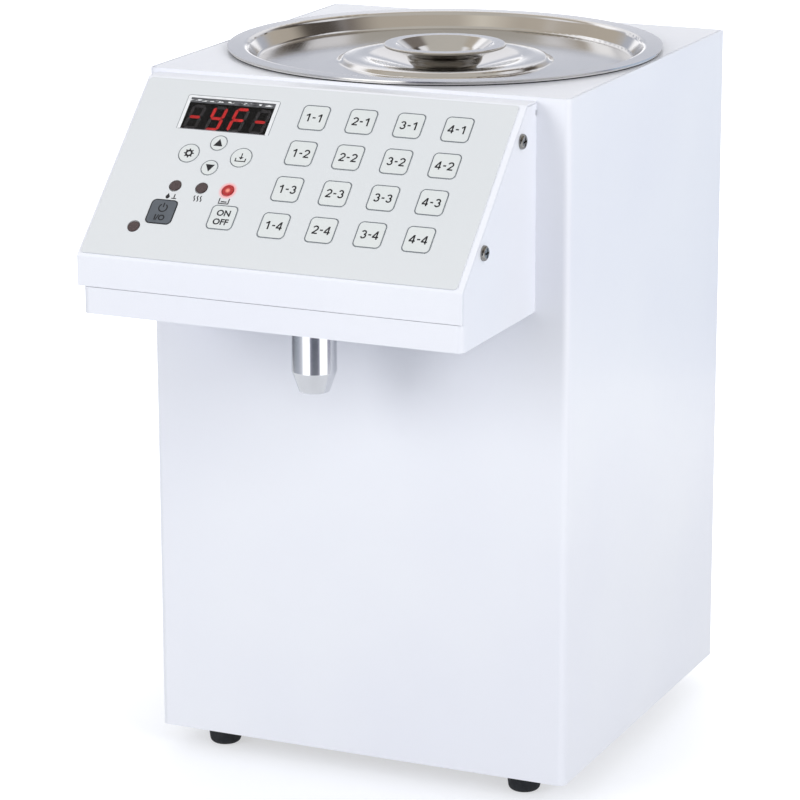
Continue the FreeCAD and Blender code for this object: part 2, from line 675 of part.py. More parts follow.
def head_housing():
    """Cheeks, floor and lower front lip, open towards the cover."""
    left, right = -HEAD_LEFT + COVER_OVERHANG, HEAD_RIGHT
    y_front = Y_FRONT - HEAD_REACH
    z_floor = Z_BOTTOM + HEAD_BOTTOM
    z_seam = Z_BOTTOM + HEAD_SEAM - SEAM_GAP
    path = [(left, Y_FRONT, 0), (left, y_front, HEAD_CORNER_R),
            (right, y_front, HEAD_CORNER_R), (right, Y_FRONT, 0)]
    lower = prism(sheet_outline(path, SHEET), z_seam - z_floor, z_floor)
    radius = HEAD_CORNER_R + SHEET
    floor = prism(rounded_wire([(left, Y_FRONT, 0), (left, y_front, radius), (right, y_front, radius),
                                (right, Y_FRONT, 0)]), SHEET, z_floor)
    gap = SHEET + SEAM_GAP
    cheek_outline = [(Y_FRONT, z_seam, 0)] + [(y, z, 0) for y, z in head_profile(gap)]
    cheek_outline.append((y_front + gap, z_seam, 0))
    cheeks = [side_prism(rounded_wire(cheek_outline), x, x + SHEET) for x in (left, right - SHEET)]
    housing = fuse([lower, floor] + cheeks)
    cuts = [rod(NOZZLE_SHANK_R + NOZZLE_HOLE_GAP, nozzle_axis(z_floor - CUT),
                nozzle_axis(z_floor + SHEET + CUT))]
    for place in cover_screw_places():
        through = V(place.x, 0, 0).normalize() * (SHEET + SEAM_GAP)
        cuts.append(rod(SCREW_R + SEAM_GAP, place - through, place + through))
    z_notch = Z_BOTTOM + HEAD_TOP - CHEEK_NOTCH_DROP
    cuts.append(box(left - CUT, right + CUT, Y_FRONT - CHEEK_NOTCH_W, Y_FRONT + CUT,
                    z_notch - CHEEK_NOTCH_H, z_notch))
    return housing.cut(fuse(cuts))


def cover_screw_places():
    """Seats of the four cover screws on the outside of the cheeks."""
    places = []
    for x in (-HEAD_LEFT + COVER_OVERHANG, HEAD_RIGHT):
        for v in COVER_SCREW_V:
            seat = PANEL.multVec(V(0, -v, -COVER_SCREW_DEPTH))
            places.append(V(x, seat.y, seat.z))
    return places


def head_cover():
    """Ledge, slope and upper front lip from one sheet, with side flaps that the screws hold."""
    path = [(y, z) for y, z in head_profile(0.0)]
    (y0, z0), (y1, z1), (y2, z2) = path
    outline = sheet_outline([(y0, z0, 0), (y1, z1, BEND_R), (y2, z2, BEND_R / 2),
                             (y2, Z_BOTTOM + HEAD_SEAM, 0)], SHEET)
    skin = side_prism(outline, -HEAD_LEFT, HEAD_RIGHT)
    flaps = []
    for x in (-PANEL_HALF + COVER_OVERHANG + SHEET + FLAP_GAP, PANEL_HALF - 2 * SHEET - FLAP_GAP):
        flap = box(x, x + SHEET, -SLOPE_L + 2 * SHEET, -2 * SHEET, -FLAP_DEPTH, -SHEET / 2)
        flaps.append(on_panel(flap))
    studs = []
    for x, v in board_stud_places():
        stud = rod(STUD_R, V(x, -v, Z_BOARD - BOARD_T - STUD_TAIL), V(x, -v, -SHEET / 2))
        shoulder = rod(2 * STUD_R, V(x, -v, Z_BOARD), V(x, -v, -SHEET / 2))
        studs.append(on_panel(stud.fuse(shoulder)))
    cover = fuse([skin] + flaps + studs)
    return cover.cut(fuse(cover_cuts()))


def cover_cuts():
    cuts = []
    for x, v in key_centres():
        cuts.append(on_panel(rod(KEY_HOLE_R, V(x, -v, -2 * SHEET), V(x, -v, SHEET))))
    for x, v in LAMPS:
        cuts.append(on_panel(rod(LAMP_R - LAMP_SHOULDER, V(x, -v, -2 * SHEET), V(x, -v, SHEET))))
    cuts.append(on_panel(plate(DISPLAY_W - 2 * DISPLAY_RIM, DISPLAY_H - 2 * DISPLAY_RIM, DISPLAY_R,
                               3 * SHEET, (DISPLAY_X, -DISPLAY_V), -2 * SHEET)))
    for place in cover_screw_places():
        inward = V(-place.x, 0, 0).normalize()
        cuts.append(rod(SCREW_R + BARB_GAP, place + inward * SCREW_LENGTH, place))
    return cuts


def head_screws():
    screw = cross_head_screw(SCREW_R, SCREW_LENGTH, SCREW_HEAD_R, SCREW_HEAD_H)
    return [placed(screw, place, V(place.x, 0, 0).normalize()) for place in cover_screw_places()]


# ---- Control panel ----
def square_key_places():
    """Square keys as name: (x, distance down the slope, side)."""
    places = {f"dose_key_{column + 1}_{row + 1}":
              (DOSE_FIRST_X + column * DOSE_PITCH_X, DOSE_FIRST_V + row * DOSE_PITCH_V, DOSE_KEY)
              for row in range(DOSE_ROWS) for column in range(DOSE_COLUMNS)}
    places.update(SQUARE_KEYS)
    return places


def key_centres():
    places = list(square_key_places().values()) + list(ROUND_KEYS.values())
    return [(x, v) for x, v, size in places]


def key_pads(grow, height, z):
    """Outline solids of all keys by name, grown by a gap all round."""
    pads = {}
    for name, (x, v, side) in square_key_places().items():
        side = side + 2 * grow
        pads[name] = plate(side, side, DOSE_KEY_R + grow, height, (x, -v), z)
    for name, (x, v, radius) in ROUND_KEYS.items():
        pads[name] = rod(radius + grow, V(x, -v, z), V(x, -v, z + height))
    return pads


def keys():
    """Each key is a thin pad in the film with a stem down to its switch."""
    under = FILM_T + KEY_PROUD - KEY_T
    solids = {}
    for (name, pad), (x, v) in zip(key_pads(0, KEY_T, under).items(), key_centres()):
        stem = rod(KEY_STEM_R, V(x, -v, -KEY_STEM_DROP), V(x, -v, under + KEY_T / 2))
        solids[name] = on_panel(fuse([pad, stem]))
    return solids


def panel_film():
    left, right = -PANEL_HALF + FILM_LEFT_MARGIN, PANEL_HALF - FILM_RIGHT_MARGIN
    low, high = -SLOPE_L + FILM_BOTTOM_MARGIN, -FILM_TOP
    film = plate(right - left, high - low, FILM_R, FILM_T, ((left + right) / 2, (low + high) / 2))
    cuts = list(key_pads(KEY_GAP, 3 * FILM_T, -FILM_T).values())
    for x, v in LAMPS:
        cuts.append(rod(LAMP_R + KEY_GAP, V(x, -v, -FILM_T), V(x, -v, 2 * FILM_T)))
    cuts.append(plate(DISPLAY_W + 2 * DISPLAY_GAP, DISPLAY_H + 2 * DISPLAY_GAP, DISPLAY_R + DISPLAY_GAP,
                      3 * FILM_T, (DISPLAY_X, -DISPLAY_V), -FILM_T))
    return on_panel(film.cut(fuse(cuts)))


def display_window():
    return on_panel(plate(DISPLAY_W, DISPLAY_H, DISPLAY_R, LENS_T, (DISPLAY_X, -DISPLAY_V)))


def display_module():
    """Four-digit block on the board, just behind the window."""
    width = DISPLAY_W - 2 * DISPLAY_RIM - 2 * SEAM_GAP
    height = DISPLAY_H - 2 * DISPLAY_RIM - 2 * SEAM_GAP
    radius = DISPLAY_R / 2
    return on_panel(plate(width, height, radius, -SOFT_GAP - Z_BOARD, (DISPLAY_X, -DISPLAY_V), Z_BOARD))


def indicator_lamps():
    """Round lenses on the film, each with its body down to the board."""
    lamps = []
    for x, v in LAMPS:
        body_r = LAMP_R - LAMP_SHOULDER - SEAM_GAP
        rim = FILM_T + LAMP_PROUD
        outline = rounded_wire([(0, Z_BOARD, 0), (body_r, Z_BOARD, 0), (body_r, 0, 0), (LAMP_R, 0, 0),
                                (LAMP_R, rim, LAMP_SHOULDER), (0, rim, 0)])
        lamps.append(on_panel(turned(outline, V(x, -v, 0))))
    return lamps


def board_edges():
    """Left, right, lower and upper edges of the board on the slope."""
    left = -PANEL_HALF + COVER_OVERHANG + BOARD_MARGIN
    return left, PANEL_HALF - BOARD_MARGIN, -SLOPE_L + 2 * BOARD_MARGIN, -BOARD_MARGIN


def board_stud_places():
    left, right, low, high = board_edges()
    return [(x, -up) for x in (left + STUD_INSET_X, right - STUD_INSET_X)
            for up in (high - STUD_INSET_V, low + STUD_INSET_V)]


def control_board():
    left, right, low, high = board_edges()
    centre = ((left + right) / 2, (low + high) / 2)
    board = plate(right - left, high - low, BOARD_R, BOARD_T, centre, Z_BOARD - BOARD_T)
    holes = []
    for x, v in board_stud_places():
        holes.append(rod(STUD_R + BARB_GAP, V(x, -v, Z_BOARD - BOARD_T - CUT), V(x, -v, Z_BOARD + CUT)))
    return on_panel(board.cut(fuse(holes)))


def tact_switches():
    """One square switch with a round plunger under each key."""
    plunger_top = -KEY_STEM_DROP - KEY_TRAVEL - SWITCH_GAP
    switches = []
    for x, v in key_centres():
        base_h = plunger_top - PLUNGER_H - Z_BOARD
        base = plate(SWITCH_SIDE, SWITCH_SIDE, SWITCH_R, base_h, (x, -v), Z_BOARD)
        plunger = rod(PLUNGER_R, V(x, -v, plunger_top - PLUNGER_H), V(x, -v, plunger_top))
        switches.append(on_panel(fuse([base, plunger])))
    return switches


# ---- Tank, lid and knob ----
TANK_AXIS = V(0, TANK_Y, 0)


def tank():
    """Deep-drawn round tank whose floor falls to a welded hexagonal outlet with a barb."""
    path = [(TANK_FLANGE_R, Z_FLANGE, 0), (TANK_R + TANK_SHEET, Z_FLANGE, BEND_R),
            (TANK_R + TANK_SHEET, Z_TANK_FLOOR - TANK_SHEET, TANK_CORNER_R),
            (HOSE_R, Z_TANK_FLOOR - TANK_FALL - TANK_SHEET, BEND_R),
            (HOSE_R, Z_TANK_FLOOR - TANK_FALL - TANK_SHEET - OUTLET_NUT_H, 0)]
    shell = turned(sheet_outline(path[::-1], TANK_SHEET), TANK_AXIS)
    z_barb = Z_OUTLET - OUTLET_BARB_L
    boss = hexagon(OUTLET_NUT_AF, OUTLET_NUT_H, V(0, TANK_Y, Z_OUTLET))
    barb = rod(BARB_R, V(0, TANK_Y, z_barb), V(0, TANK_Y, Z_OUTLET + SUMP_SLACK / 2))
    drain = rod(PORT_BORE_R, V(0, TANK_Y, z_barb - CUT), V(0, TANK_Y, Z_OUTLET + SUMP_SLACK))
    sump = rod(HOSE_R - TANK_SHEET, V(0, TANK_Y, Z_OUTLET + SUMP_SLACK), V(0, TANK_Y, Z_TANK_FLOOR))
    return fuse([shell, boss, barb]).cut(fuse([drain, sump]))


def tank_gasket():
    bore = TANK_R + TANK_SHEET + BEND_R + SEAM_GAP
    return ring(bore, TANK_FLANGE_R - GASKET_SETBACK, Z_TOP, Z_FLANGE, TANK_AXIS)


def lid():
    """Pressed lid: flat rim, recess with a drawn wall, raised ring and a dished centre for the knob."""
    z_floor = Z_RIM - LID_RECESS
    z_crest = z_floor + LID_BOSS_H
    z_seat = knob_seat()
    path = [(0.0, z_seat, 0), (KNOB_SEAT_R + LID_SEAT_MARGIN, z_seat, LID_DISH_BEND_R),
            (LID_BOSS_R - LID_CREST_W, z_crest, LID_CREST_BEND_R),
            (LID_BOSS_R - LID_CREST_W / 2, z_crest + LID_CREST_RISE, LID_CREST_DOME_R),
            (LID_BOSS_R, z_crest, LID_BOSS_BEND_R),
            (LID_BOSS_R + LID_BOSS_RUN, z_floor, LID_BOSS_BEND_R),
            (LID_WALL_R - LID_WALL_RUN, z_floor, LID_FLOOR_BEND_R),
            (LID_WALL_R, Z_RIM, LID_RIM_BEND_R), (LID_RIM_R, Z_RIM, 0)]
    shell = turned(sheet_outline(path[::-1], LID_SHEET), TANK_AXIS)
    hole = rod(KNOB_SCREW_R + BARB_GAP, V(0, TANK_Y, z_seat - LID_SHEET - CUT), V(0, TANK_Y, z_seat + CUT))
    return shell.cut(hole)


def knob_seat():
    return Z_RIM - LID_RECESS + LID_BOSS_H - LID_DISH_DEPTH


def lid_knob():
    """Turned cup: a bulging neck that flares out to a flat lip around a deep bowl."""
    z0 = knob_seat()
    lip_z = z0 + KNOB_H
    bowl_z = z0 + KNOB_FLOOR_T
    outline = rounded_wire([(0, z0, 0), (KNOB_SEAT_R, z0, KNOB_FOOT_R),
                            (KNOB_NECK_R, z0 + KNOB_NECK_UP, KNOB_NECK_BEND_R),
                            (KNOB_NECK_TOP_R, lip_z - KNOB_NECK_DROP, KNOB_LIP_BEND_R),
                            (KNOB_R, lip_z - KNOB_WALL, 0), (KNOB_R, lip_z, KNOB_RIM_R),
                            (KNOB_R - KNOB_LIP, lip_z, KNOB_BOWL_R),
                            (KNOB_NECK_TOP_R - KNOB_WALL, lip_z - KNOB_BOWL_DROP, KNOB_BEND_R),
                            (KNOB_SEAT_R - KNOB_FLOOR_STEP, bowl_z, KNOB_FLOOR_BEND_R), (0, bowl_z, 0)])
    knob = turned(outline, TANK_AXIS)
    thread_end = z0 + KNOB_SCREW_L - LID_SHEET + KNOB_SCREW_SLACK
    return knob.cut(rod(KNOB_SCREW_R + BARB_GAP, V(0, TANK_Y, z0 - CUT), V(0, TANK_Y, thread_end)))


def knob_screw():
    screw = cross_head_screw(KNOB_SCREW_R, KNOB_SCREW_L, 2 * KNOB_SCREW_R, KNOB_SCREW_HEAD_H)
    return placed(screw, V(0, TANK_Y, knob_seat() - LID_SHEET), V(0, 0, -1))


def heater_band():
    z0 = Z_TANK_FLOOR + HEATER_UP
    inner = TANK_R + TANK_SHEET + BARB_GAP
    band = ring(inner, inner + HEATER_T, z0, z0 + HEATER_H, TANK_AXIS)
    split = box(-HEATER_SPLIT / 2, HEATER_SPLIT / 2, TANK_Y, TANK_Y + inner + HEATER_T + CUT,
                z0 - CUT, z0 + HEATER_H + CUT)
    return band.cut(split)


def temperature_sensor():
    """Disc sensor pressed against the sloping floor."""
    outer_r = TANK_R + TANK_SHEET
    tilt = math.atan2(TANK_FALL, outer_r - HOSE_R)
    top = Z_TANK_FLOOR - TANK_SHEET - (outer_r - abs(SENSOR_X)) * math.tan(tilt) - SOFT_GAP
    outline = rounded_wire([(0, -SENSOR_H, 0), (SENSOR_R, -SENSOR_H, 2 * SENSOR_EDGE_R),
                            (SENSOR_R, -SENSOR_FLANGE_T, 0), (SENSOR_FLANGE_R, -SENSOR_FLANGE_T, 0),
                            (SENSOR_FLANGE_R, 0, SENSOR_EDGE_R), (0, 0, 0)])
    return placed(turned(outline), V(SENSOR_X, TANK_Y, top), V(math.sin(tilt), 0, math.cos(tilt)))


# ---- Outlet, pump and motor ----
Z_OUTLET = Z_TANK_FLOOR - TANK_FALL - TANK_SHEET - OUTLET_NUT_H
PUMP = FreeCAD.Placement(V(0, TANK_Y, Z_BOTTOM + PUMP_UP), FreeCAD.Rotation(V(1, 0, 0), 90))
PITCH_R = MODULE * TEETH / 2
TIP_R = PITCH_R + MODULE
ROOT_R = PITCH_R - DEDENDUM * MODULE
BASE_R = PITCH_R * math.cos(math.radians(PRESSURE_ANGLE))
DRIVE_X = -PITCH_R
IDLER_X = PITCH_R
CHAMBER_R = TIP_R + TIP_CLEARANCE
CHAMBER_HALF = GEAR_W / 2 + SIDE_CLEARANCE
PUMP_FACE = CHAMBER_HALF + PUMP_BACK_WALL      # pump's mounting face, along its shaft
MOTOR_FACE = PUMP_FACE + 2 * BRACKET_T + BRACKET_GAP
COUPLING_MIDDLE = PUMP_FACE + BRACKET_T + BRACKET_GAP / 2
PUMP_HALF_H = CHAMBER_R + PUMP_WALL
PUMP_HALF_W = PITCH_R + CHAMBER_R + PUMP_WALL


def on_pump(shape):
    """Moves a shape drawn with Z along the shaft, towards the motor, onto the pump's place."""
    copy = shape.copy()
    copy.Placement = PUMP.multiply(copy.Placement)
    return copy


def involute_point(radius):
    """Polar angle that the involute has turned through at a radius."""
    angle = math.acos(min(1.0, BASE_R / radius))
    return math.tan(angle) - angle


def gear_wire(start_angle):
    """Involute spur gear outline with a tooth centred on start_angle (radians)."""
    half_tooth = math.pi / TEETH / 2 - BACKLASH / (4 * PITCH_R) + involute_point(PITCH_R)
    radii = [BASE_R + (TIP_R - BASE_R) * i / 4 for i in range(5)]
    edges = []
    last = None
    first = None
    for tooth in range(TEETH):
        middle = start_angle + 2 * math.pi * tooth / TEETH
        rising = [polar(r, middle - half_tooth + involute_point(r)) for r in radii]
        falling = [polar(r, middle + half_tooth - involute_point(r)) for r in radii[::-1]]
        root_in = polar(ROOT_R, middle - half_tooth)
        root_out = polar(ROOT_R, middle + half_tooth)
        if last is None:
            first = root_in
        else:
            between = middle - math.pi / TEETH
            edges.append(Part.Arc(last, polar(ROOT_R, between), root_in).toShape())
        edges.append(Part.LineSegment(root_in, rising[0]).toShape())
        edges.append(spline(rising))
        edges.append(Part.Arc(rising[-1], polar(TIP_R, middle), falling[0]).toShape())
        edges.append(spline(falling))
        edges.append(Part.LineSegment(falling[-1], root_out).toShape())
        last = root_out
    closing = start_angle - math.pi / TEETH
    edges.append(Part.Arc(last, polar(ROOT_R, closing), first).toShape())
    return Part.Wire(edges)


def spline(points):
    curve = Part.BSplineCurve()
    curve.interpolate(points)
    return curve.toShape()


def gear(x, start_angle, shaft_end):
    """Pump gear and its shaft, which turns in the cover at one end and in the back wall at the other."""
    wheel = prism(gear_wire(start_angle), GEAR_W, -GEAR_W / 2)
    low = -CHAMBER_HALF - PUMP_COVER_T + BORE_FLOOR + END_PLAY
    shaft = rod(SHAFT_R, V(0, 0, low), V(0, 0, shaft_end))
    return on_pump(fuse([wheel, shaft]).translated(V(x, 0, 0)))


def drive_gear():
    return gear(DRIVE_X, 0.0, COUPLING_MIDDLE - SHAFT_MEET)


def idler_gear():
    return gear(IDLER_X, math.pi / TEETH + math.pi, PUMP_FACE - BORE_FLOOR - END_PLAY)


def pump_corner_places():
    inset = PUMP_CORNER_R
    x, y = PUMP_HALF_W - inset, PUMP_HALF_H - inset
    return [(-x, -y), (x, -y), (x, y), (-x, y)]


def pump_body():
    """Block with the two-lobed gear chamber, shaft bores, and an inlet above and an outlet below."""
    low, high = -CHAMBER_HALF, PUMP_FACE
    block = plate(2 * PUMP_HALF_W, 2 * PUMP_HALF_H, PUMP_CORNER_R, high - low, (0, 0), low)
    ports = []
    passages = []
    for side in (-1, 1):
        y_face = side * PUMP_HALF_H
        y_boss = y_face + side * PORT_BOSS_L
        y_end = y_boss + side * PORT_BARB_L
        ports.append(rod(PORT_BOSS_R, V(0, y_face - side * PORT_BOSS_L / 2, 0), V(0, y_boss, 0)))
        ports.append(rod(BARB_R, V(0, y_face, 0), V(0, y_end, 0)))
        passages.append(rod(PORT_BORE_R, V(0, side * PITCH_R / 3, 0), V(0, y_end + side, 0)))
    body = fuse([block] + ports)
    cuts = passages
    for x in (DRIVE_X, IDLER_X):
        cuts.append(rod(CHAMBER_R, V(x, 0, low - CUT), V(x, 0, CHAMBER_HALF)))
    cuts.append(rod(SHAFT_R + SHAFT_GAP, V(DRIVE_X, 0, 0), V(DRIVE_X, 0, high + CUT)))
    cuts.append(rod(SHAFT_R + SHAFT_GAP, V(IDLER_X, 0, 0), V(IDLER_X, 0, high - BORE_FLOOR)))
    for x, y in pump_corner_places():
        cuts.append(rod(PUMP_SCREW_R + BARB_GAP, V(x, y, low - CUT), V(x, y, high + CUT)))
    return on_pump(body.cut(fuse(cuts)))


def pump_cover():
    low = -CHAMBER_HALF - PUMP_COVER_T
    cover = plate(2 * PUMP_HALF_W, 2 * PUMP_HALF_H, PUMP_CORNER_R, PUMP_COVER_T, (0, 0), low)
    cuts = [rod(SHAFT_R + SHAFT_GAP, V(x, 0, low + BORE_FLOOR), V(x, 0, 0)) for x in (DRIVE_X, IDLER_X)]
    for x, y in pump_corner_places():
        cuts.append(rod(PUMP_SCREW_R + BARB_GAP, V(x, y, low - CUT), V(x, y, 0)))
    return on_pump(cover.cut(fuse(cuts)))


def pump_screws():
    """Long socket screws that clamp the cover and the body to the bracket."""
    low = -CHAMBER_HALF - PUMP_COVER_T
    solids = []
    for x, y in pump_corner_places():
        head = rod(PUMP_SCREW_HEAD_R, V(x, y, low - PUMP_SCREW_HEAD_H), V(x, y, low))
        socket = hexagon(SOCKET_AF, SOCKET_DEPTH + CUT, V(x, y, low - PUMP_SCREW_HEAD_H - CUT))
        shank = rod(PUMP_SCREW_R, V(x, y, low), V(x, y, PUMP_FACE + BRACKET_T + PUMP_SCREW_END))
        solids.append(on_pump(fuse([head.cut(socket), shank])))
    return solids


def motor_screw_places():
    points = [polar(MOTOR_PILOT_R + MOTOR_SCREW_OUT, math.radians(45 + 90 * i)) for i in range(4)]
    return [(DRIVE_X + p.x, p.y) for p in points]


def pump_bracket():
    """U-shaped bracket on the base plate: the pump bolts to one upright and the motor to the other."""
    floor = -(Z_BOTTOM + PUMP_UP - BASE_TOP)
    top = PUMP_HALF_H
    z0, z1 = PUMP_FACE, MOTOR_FACE
    path = [(z0, top, 0), (z0, floor, BEND_R), (z1, floor, BEND_R), (z1, top, 0)]
    outline = sheet_outline(path, BRACKET_T)
    channel = Part.Face(outline).extrude(V(0, 0, BRACKET_W))
    turn = FreeCAD.Rotation(V(0, 0, 1), V(0, 1, 0), V(-1, 0, 0))
    channel.Placement = FreeCAD.Placement(V(BRACKET_W / 2, 0, 0), turn)
    cuts = [rod(MOTOR_PILOT_R + SEAM_GAP, V(DRIVE_X, 0, z0 - CUT), V(DRIVE_X, 0, z1 + CUT))]
    for x, y in pump_corner_places():
        cuts.append(rod(PUMP_SCREW_R + BARB_GAP, V(x, y, z0 - CUT), V(x, y, z0 + BRACKET_T + CUT)))
    for x, y in motor_screw_places():
        cuts.append(rod(SCREW_R + SEAM_GAP, V(x, y, z1 - BRACKET_T - CUT), V(x, y, z1 + CUT)))
    return on_pump(channel.cut(fuse(cuts)))


def motor():
    """Can motor with a stepped end and a pilot ring, tapped for four screws."""
    z0 = MOTOR_FACE
    z1 = z0 + MOTOR_L
    z_end = z1 + MOTOR_END_L
    z_bore = z0 + MOTOR_SHAFT_IN + END_PLAY
    bore = MOTOR_SHAFT_R + SHAFT_GAP
    outline = rounded_wire([(bore, z0 - MOTOR_PILOT_H, 0), (MOTOR_PILOT_R, z0 - MOTOR_PILOT_H, 0),
                            (MOTOR_PILOT_R, z0, 0), (MOTOR_R, z0, 0), (MOTOR_R, z1, MOTOR_EDGE_R),
                            (MOTOR_END_R, z1, 0), (MOTOR_END_R, z_end, MOTOR_EDGE_R / 2),
                            (0, z_end, 0), (0, z_bore, 0), (bore, z_bore, 0)])
    can = turned(outline, V(DRIVE_X, 0, 0))
    z_tap = z0 + MOTOR_SCREW_IN + END_PLAY
    holes = [rod(SCREW_R + BARB_GAP, V(x, y, z0 - CUT), V(x, y, z_tap)) for x, y in motor_screw_places()]
    return on_pump(can.cut(fuse(holes)))


def motor_screws():
    screw = cross_head_screw(SCREW_R, BRACKET_T + MOTOR_SCREW_IN, SCREW_HEAD_R, SCREW_HEAD_H)
    z_seat = MOTOR_FACE - BRACKET_T
    return [on_pump(placed(screw, V(x, y, z_seat), V(0, 0, -1))) for x, y in motor_screw_places()]


def motor_shaft():
    low, high = COUPLING_MIDDLE + SHAFT_MEET, MOTOR_FACE + MOTOR_SHAFT_IN
    return on_pump(rod(MOTOR_SHAFT_R, V(DRIVE_X, 0, low), V(DRIVE_X, 0, high)))


def shaft_coupling():
    """Split sleeve that joins the motor shaft to the pump's drive shaft."""
    z_mid = COUPLING_MIDDLE
    low, high = z_mid - COUPLING_L / 2, z_mid + COUPLING_L / 2
    pump_bore, motor_bore = SHAFT_R + COUPLING_BORE_GAP, MOTOR_SHAFT_R + COUPLING_BORE_GAP
    outline = rounded_wire([(pump_bore, low, 0), (COUPLING_R, low, COUPLING_EDGE_R),
                            (COUPLING_R, high, COUPLING_EDGE_R), (motor_bore, high, 0),
                            (motor_bore, z_mid, 0), (pump_bore, z_mid, 0)])
    sleeve = turned(outline, V(DRIVE_X, 0, 0))
    grub_holes = []
    for z in (z_mid - COUPLING_L / 4, z_mid + COUPLING_L / 4):
        grub_holes.append(rod(GRUB_R, V(DRIVE_X, 0, z), V(DRIVE_X + COUPLING_R + CUT, 0, z)))
    return on_pump(sleeve.cut(fuse(grub_holes)))


def suction_ends():
    z_high = Z_OUTLET - SOFT_GAP
    z_low = Z_BOTTOM + PUMP_UP + PUMP_HALF_H + PORT_BOSS_L + SOFT_GAP
    return V(0, TANK_Y, z_low), V(0, TANK_Y, z_high)


def suction_hose():
    low, high = suction_ends()
    return rod(HOSE_R, low, high).cut(rod(HOSE_BORE_R, low, high))


HOSE_CORNER_INSET = 16.0        # riser at the floor, in from the head's right side
HOSE_CORNER_X = HEAD_RIGHT - HOSE_CORNER_INSET
HOSE_CORNER_Y = 27.0            # behind the front wall's outer face
HOSE_CORNER_RISE = 12.0
HOSE_LEAN = 4.0                 # riser's top further in than its foot
HOSE_FLOOR_UP = 14.0            # lowest run above the cabinet's bottom
HOSE_SIDE_X = 52.0
HOSE_SIDE_Y = 8.0               # in front of the pump's axis
HOSE_BEND_R = [20.0, 40.0, 30.0, 25.0, 25.0]


def nozzle_axis(z):
    return V(0, Y_FRONT - NOZZLE_Y, z)


def delivery_points():
    """Centre line from the pump's outlet, along the floor, up the front corner and into the head."""
    z_port = Z_BOTTOM + PUMP_UP - PUMP_HALF_H - PORT_BOSS_L - SOFT_GAP
    z_floor = Z_BOTTOM + HOSE_FLOOR_UP
    z_elbow = Z_BOTTOM + HEAD_BOTTOM + ELBOW_UP
    y_corner = Y_FRONT + HOSE_CORNER_Y
    y_nozzle = Y_FRONT - NOZZLE_Y
    x_start = ELBOW_SIDE / 2 + SOFT_GAP
    x_top = HOSE_CORNER_X - HOSE_LEAN
    return [V(0, TANK_Y, z_port), V(0, TANK_Y, z_floor), V(HOSE_SIDE_X, TANK_Y - HOSE_SIDE_Y, z_floor),
            V(HOSE_CORNER_X, y_corner, z_floor + HOSE_CORNER_RISE), V(x_top, y_corner, z_elbow),
            V(x_top, y_nozzle, z_elbow), V(x_start, y_nozzle, z_elbow)]


def delivery_hose():
    return tube_along(delivery_points(), HOSE_R, HOSE_BORE_R, HOSE_BEND_R)


def hose_clamps():
    """Spring band clamps over the four hose ends."""
    low, high = suction_ends()
    points = delivery_points()
    inner = HOSE_R + BARB_GAP
    ends = [(low, V(0, 0, 1)), (high, V(0, 0, -1)), (points[0], V(0, 0, -1)), (points[-1], V(1, 0, 0))]
    solids = []
    for end, direction in ends:
        start = end + direction * CLAMP_INSET
        stop = start + direction * CLAMP_W
        band = rod(inner + CLAMP_T, start, stop).cut(rod(inner, start - direction, stop + direction))
        solids.append(band)
    return solids


# ---- Nozzle ----
def nozzle():
    """Turned spout with a conical tip; its shank passes the head's floor and carries the hose elbow."""
    z_seat = Z_BOTTOM + HEAD_BOTTOM
    z_tip = z_seat - NOZZLE_L - NOZZLE_CONE_L
    z_elbow = z_seat + ELBOW_UP
    half = ELBOW_SIDE / 2
    outline = rounded_wire([(0, z_tip, 0), (NOZZLE_TIP_R, z_tip, NOZZLE_EDGE_R),
                            (NOZZLE_R, z_seat - NOZZLE_L, NOZZLE_SHOULDER_R),
                            (NOZZLE_R, z_seat, NOZZLE_EDGE_R), (NOZZLE_SHANK_R, z_seat, 0),
                            (NOZZLE_SHANK_R, z_elbow - half, 0), (0, z_elbow - half, 0)])
    spout = turned(outline, nozzle_axis(0))
    centre = (0, Y_FRONT - NOZZLE_Y)
    elbow = plate(ELBOW_SIDE, ELBOW_SIDE, ELBOW_EDGE_R, ELBOW_SIDE, centre, z_elbow - half)
    turn = nozzle_axis(z_elbow)
    barb = rod(BARB_R, turn, turn + V(half + ELBOW_BARB_L, 0, 0))
    side_bore = rod(NOZZLE_BORE_R, turn, turn + V(half + ELBOW_BARB_L + CUT, 0, 0))
    bore = rod(NOZZLE_BORE_R, nozzle_axis(z_tip - CUT), turn)
    return fuse([spout, elbow, barb]).cut(fuse([bore, side_bore]))


def nozzle_nut():
    z_floor = Z_BOTTOM + HEAD_BOTTOM + SHEET
    nut = hexagon(NOZZLE_NUT_AF, NOZZLE_NUT_H, nozzle_axis(z_floor))
    thread_top = nozzle_axis(z_floor + NOZZLE_NUT_H + CUT)
    return nut.cut(rod(NOZZLE_SHANK_R + BARB_GAP, nozzle_axis(z_floor - CUT), thread_top))


# ---- Electrical parts ----
def power_supply():
    """Switched supply in a perforated steel case, standing on its long edge."""
    x0, x1 = SUPPLY_X - SUPPLY_W / 2, SUPPLY_X + SUPPLY_W / 2
    y1 = Y_BACK - SUPPLY_BACK_GAP
    z1 = BASE_TOP + SUPPLY_H
    case = box(x0, x1, y1 - SUPPLY_D, y1, BASE_TOP, z1)
    cuts = []
    for row in range(SUPPLY_HOLE_ROWS):
        for column in range(SUPPLY_HOLE_COLUMNS):
            y = y1 - SUPPLY_D / 2 + (column - (SUPPLY_HOLE_COLUMNS - 1) / 2) * SUPPLY_HOLE_PITCH
            z = BASE_TOP + SUPPLY_HOLES_UP + row * SUPPLY_HOLE_PITCH
            cuts.append(rod(SUPPLY_HOLE_R, V(x1 - SUPPLY_HOLE_DEPTH, y, z), V(x1 + CUT, y, z)))
    cuts.append(box(x0 + TERMINAL_MARGIN_X, x1 - TERMINAL_MARGIN_X, y1 - TERMINAL_DEPTH, y1 + CUT,
                    BASE_TOP + TERMINAL_MARGIN_Z, z1 - TERMINAL_MARGIN_Z))
    return case.cut(fuse(cuts))


